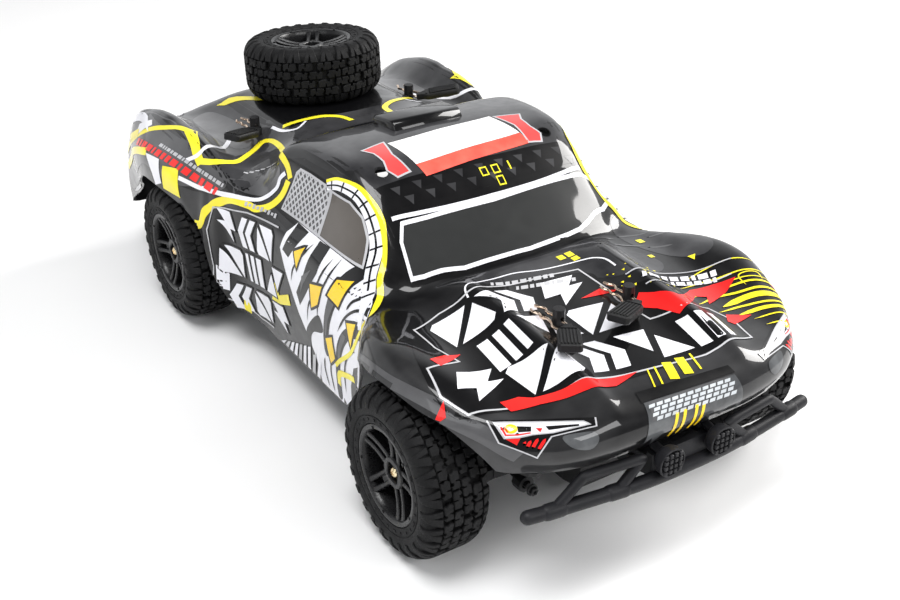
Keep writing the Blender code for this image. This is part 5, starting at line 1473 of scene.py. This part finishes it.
def build_shock_screws():
    """Black hex screw heads that close the lower eyes of the shocks."""
    for name, side, end, _ in wheel_corners():
        low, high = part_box(name + "_shock_rod")
        face = (low.y if end < 0 else high.y) / MM - SHIFT_Y
        screw = Solid()
        screw.turn([(-0.2, 0.05), (-0.2, 3.1), (0.5, 3.1), (0.7, 2.8), (0.7, 0.05)], 28)
        screw.skin([[polar(a, r, math.pi / 3 * k) for k in range(6)]
                    for a, r in ((0.7, 2.3), (2.2, 2.3), (2.5, 2.0), (2.5, 1.2), (1.6, 1.1))])
        ahead = Matrix(((0, 1, 0, side * SHOCK_EYE[0]), (end, 0, 0, face), (0, 0, 1, SHOCK_EYE[1]),
                        (0, 0, 0, 1)))
        piece = screw.moved(ahead).piece(name + "_shock_screw", NYLON, "nylon", 40.0)
        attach(piece, name + "_shock_rod")


def build_drive_bones():
    """Shafts that ride with the arms, short of the axles they would reach."""
    for name, _, _, corner in wheel_corners():
        bone = Solid()
        path = [(17.6, 0, 40.6), (24.0, 0, 40.9), (50.0, 0, 41.9), (57.0, 0, 42.2)]
        bone.tube(refined([Vector(p) for p in path], 3), 1.35, 16)
        bone.tube([(24.0, 0, 40.9), (30.0, 0, 41.1)], 1.9, 16)
        bone.tube([(17.8, -1.9, 40.6), (17.8, 1.9, 40.6)], 0.75, 10)
        piece = bone.moved(corner).piece(name + "_drive_bone", STEEL, "steel", 40.0)
        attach(piece, name + "_arm")


# ---------------------------------------------------------------- small hardware and CAD nodes

def cap_screws(places, name, body, radius=2.2, axis=(0, 0, 1), depth=1.4):
    """Button-head screws with a hex socket, at points of the truck's frame."""
    screws = Solid()
    turn = Vector(axis).to_track_quat("X", "Z").to_matrix().to_4x4()
    for place in places:
        head = Solid()
        head.turn([(-0.8, 0.05), (-0.8, radius), (0.3 * depth, radius), (0.8 * depth, radius * 0.8),
                   (depth, radius * 0.58)], 20, closed=False)
        count = len(head.vertices)
        socket = radius * 0.5
        head.skin([[polar(depth, radius * 0.58, 2 * math.pi * k / 20) for k in range(20)],
                   [polar(depth, socket, 2 * math.pi * k / 20) for k in range(20)],
                   [polar(0.35 * depth, socket * 0.9, 2 * math.pi * k / 20) for k in range(20)]],
                  capped=False)
        head.faces.append([count + 40 + k for k in range(20)])
        moved = head.moved(Matrix.Translation(place) @ turn)
        screws.add(moved.vertices, moved.faces)
    piece = screws.piece(name, STEEL, "steel", 35.0)
    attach(piece, body)


def build_hardware():
    """Chassis screws, the motor's end bell, battery straps, and the controller's heat sink."""
    floor_screws = [(x, y, 12.0) for y in (-150, -120, 120, 150) for x in (-9, 9)]
    floor_screws += [(x, y, 12.0) for y in (-60, 0, 60) for x in (-28, 28)]
    cap_screws(floor_screws, "chassis_floor_screws", "chassis", 2.4, (0, 0, -1))
    tower_face = AXLE_Y + 14.7
    cap_screws([(side * 24, -tower_face, z) for side in (-1, 1) for z in (56, 71)],
               "front_tower_screws", "chassis", 1.9, (0, -1, 0))
    cap_screws([(side * 24, tower_face, z) for side in (-1, 1) for z in (56, 71)],
               "rear_tower_screws", "chassis", 1.9, (0, 1, 0))
    motor = Solid()
    motor.turn([(0, 0.05), (0, 9.0), (0.6, 9.6), (0.6, 13.0), (-0.4, 14.2), (-6.0, 14.2),
                (-6.0, 13.9), (-6.0, 0.05)], 40)
    for k in range(3):
        t = 2 * math.pi * k / 3
        motor.block([(5.0, -0.25), (8.4, -0.3), (8.4, 0.3), (5.0, 0.25)],
                    lambda r, a, height: polar(height, r, t + a),
                    [(0.0, 0.0), (0.9, 0.0), (1.1, 0.2)])
    at = Matrix(((0, 1, 0, -22.0), (-1, 0, 0, 15.2), (0, 0, 1, 38.0), (0, 0, 0, 1)))
    piece = motor.moved(at).piece("motor_end_bell", NYLON, "motor", 35.0)
    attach(piece, "chassis")
    strap = Solid()
    for y in (-40.0, 24.0):
        strap.block([(4.6, 17.0), (4.6, 38.8), (5.6, 39.6), (34.8, 39.6), (35.8, 38.8),
                     (35.8, 17.0), (35.0, 17.0), (35.0, 38.4), (34.4, 38.9), (6.0, 38.9),
                     (5.4, 38.4), (5.4, 17.0)], lambda x, z, height: Vector((x, height, z)),
                    [(y - 6.0, 0.0), (y + 6.0, 0.0)])
    piece = strap.piece("battery_straps", TAB_RUBBER, "battery", 35.0)
    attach(piece, "chassis")
    fins = Solid()
    for k in range(8):
        y = -76 + 4.4 * k
        fins.block([(-30, y), (-10, y), (-10, y + 1.2), (-30, y + 1.2)],
                   lambda x, b, z: Vector((x, b, z)), [(35.8, 0.0), (40.0, 0.0), (40.3, 0.2)])
    piece = fins.piece("controller_heat_sink", ALUMINIUM, "controller", 35.0)
    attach(piece, "chassis")


def finish_cad_nodes():
    """Every CAD node that still shows gets its slot's finish and slightly softened edges.

    The front shock rods end in black moulded eyes, which is all of them that can be seen.
    """
    slots = {part["node"]: part["material_slot"] for part in frame["record"]["subparts"]}
    for node, piece in frame["nodes"].items():
        slot = slots[node]
        piece.data.materials.clear()
        piece.data.materials.append(NYLON if node.endswith("shock_rod") else SLOT_FINISHES[slot])
        if not piece.hide_render:
            soften = piece.modifiers.new("soften", "BEVEL")
            soften.width = 0.0003
            soften.segments = 2
            soften.limit_method = "ANGLE"
            soften.angle_limit = math.radians(50.0)


# ---------------------------------------------------------------- studio

FLOOR_GAP = 0.0002  # the floor lies just under the tyres


def area_light(name, place, target, size, power, tone=(1.0, 1.0, 1.0)):
    """A soft rectangular light that faces a point."""
    light = bpy.data.lights.new(name, "AREA")
    light.shape = "RECTANGLE"
    light.size, light.size_y = size
    light.energy = power
    light.color = tone
    lamp = bpy.data.objects.new(name, light)
    lamp.location = place
    lamp.rotation_euler = (Vector(target) - Vector(place)).to_track_quat("-Z", "Y").to_euler()
    bpy.context.scene.collection.objects.link(lamp)


def build_studio():
    """A plain floor, a room with one lit wall, and four soft lights."""
    mesh = bpy.data.meshes.new("floor")
    bm = bmesh.new()
    bmesh.ops.create_grid(bm, x_segments=8, y_segments=8, size=6.0)
    bm.to_mesh(mesh)
    bm.free()
    floor = bpy.data.objects.new("floor", mesh)
    floor.location.z = -FLOOR_GAP
    bpy.context.scene.collection.objects.link(floor)
    mesh.materials.append(surface("studio_floor", (0.86, 0.86, 0.865), (0.9, 0.9, 0.9), (0.55, 0.7),
                                  patches=3.0, grain=400.0, depth=0.02, Specular_IOR_Level=0.15))
    world = bpy.data.worlds.new("studio")
    bpy.context.scene.world = world
    world.use_nodes = True
    tree = world.node_tree
    background = tree.nodes["Background"]
    place = add_node(tree, "ShaderNodeTexCoord")
    axes = add_node(tree, "ShaderNodeSeparateXYZ")
    tree.links.new(place.outputs["Generated"], axes.inputs["Vector"])
    # Bright near the horizon behind the truck, dim overhead and in front of it.
    levels = [spread(tree, axes.outputs["Y"], 0.3, 1.0, -0.5, 0.6),
              spread(tree, axes.outputs["Z"], 1.0, 0.14, 0.42, 0.72)]
    both = add_node(tree, "ShaderNodeMath", operation="MULTIPLY")
    tree.links.new(levels[0], both.inputs[0])
    tree.links.new(levels[1], both.inputs[1])
    tree.links.new(both.outputs["Value"], background.inputs["Strength"])
    background.inputs["Color"].default_value = (0.97, 0.98, 1.0, 1.0)
    area_light("key", (1.65, -0.25, 1.15), (0.0, -0.02, 0.05), (0.9, 0.8), 40.0,
               (1.0, 0.985, 0.965))
    area_light("top", (-0.55, -0.35, 1.9), (0.0, 0.0, 0.05), (0.9, 0.9), 30.0)
    area_light("front", (0.25, -1.6, 1.15), (0.0, -0.1, 0.05), (1.0, 0.5), 14.0)
    area_light("fill", (-1.4, -0.4, 0.8), (0.0, 0.0, 0.08), (0.7, 0.7), 3.0, (0.97, 0.985, 1.0))


def build_camera():
    """A view from above the truck's right front corner."""
    camera = bpy.data.cameras.new("camera")
    camera.lens = 48.78
    camera.sensor_width = 36.0
    camera.clip_start = 0.01
    camera.clip_end = 30.0
    holder = bpy.data.objects.new("camera", camera)
    holder.location = (-0.3291, -0.5444, 0.3838)
    holder.rotation_euler = (math.radians(90 - 28.98), math.radians(0.1), math.radians(-32.67))
    bpy.context.scene.collection.objects.link(holder)
    bpy.context.scene.camera = holder


dice = random.Random(7)
build_shell()
build_film()
build_wheels()
build_bumper()
build_clips()
build_springs()
build_shock_screws()
build_drive_bones()
build_hardware()
finish_cad_nodes()
build_studio()
build_camera()
bpy.context.scene.view_settings.view_transform = "Standard"
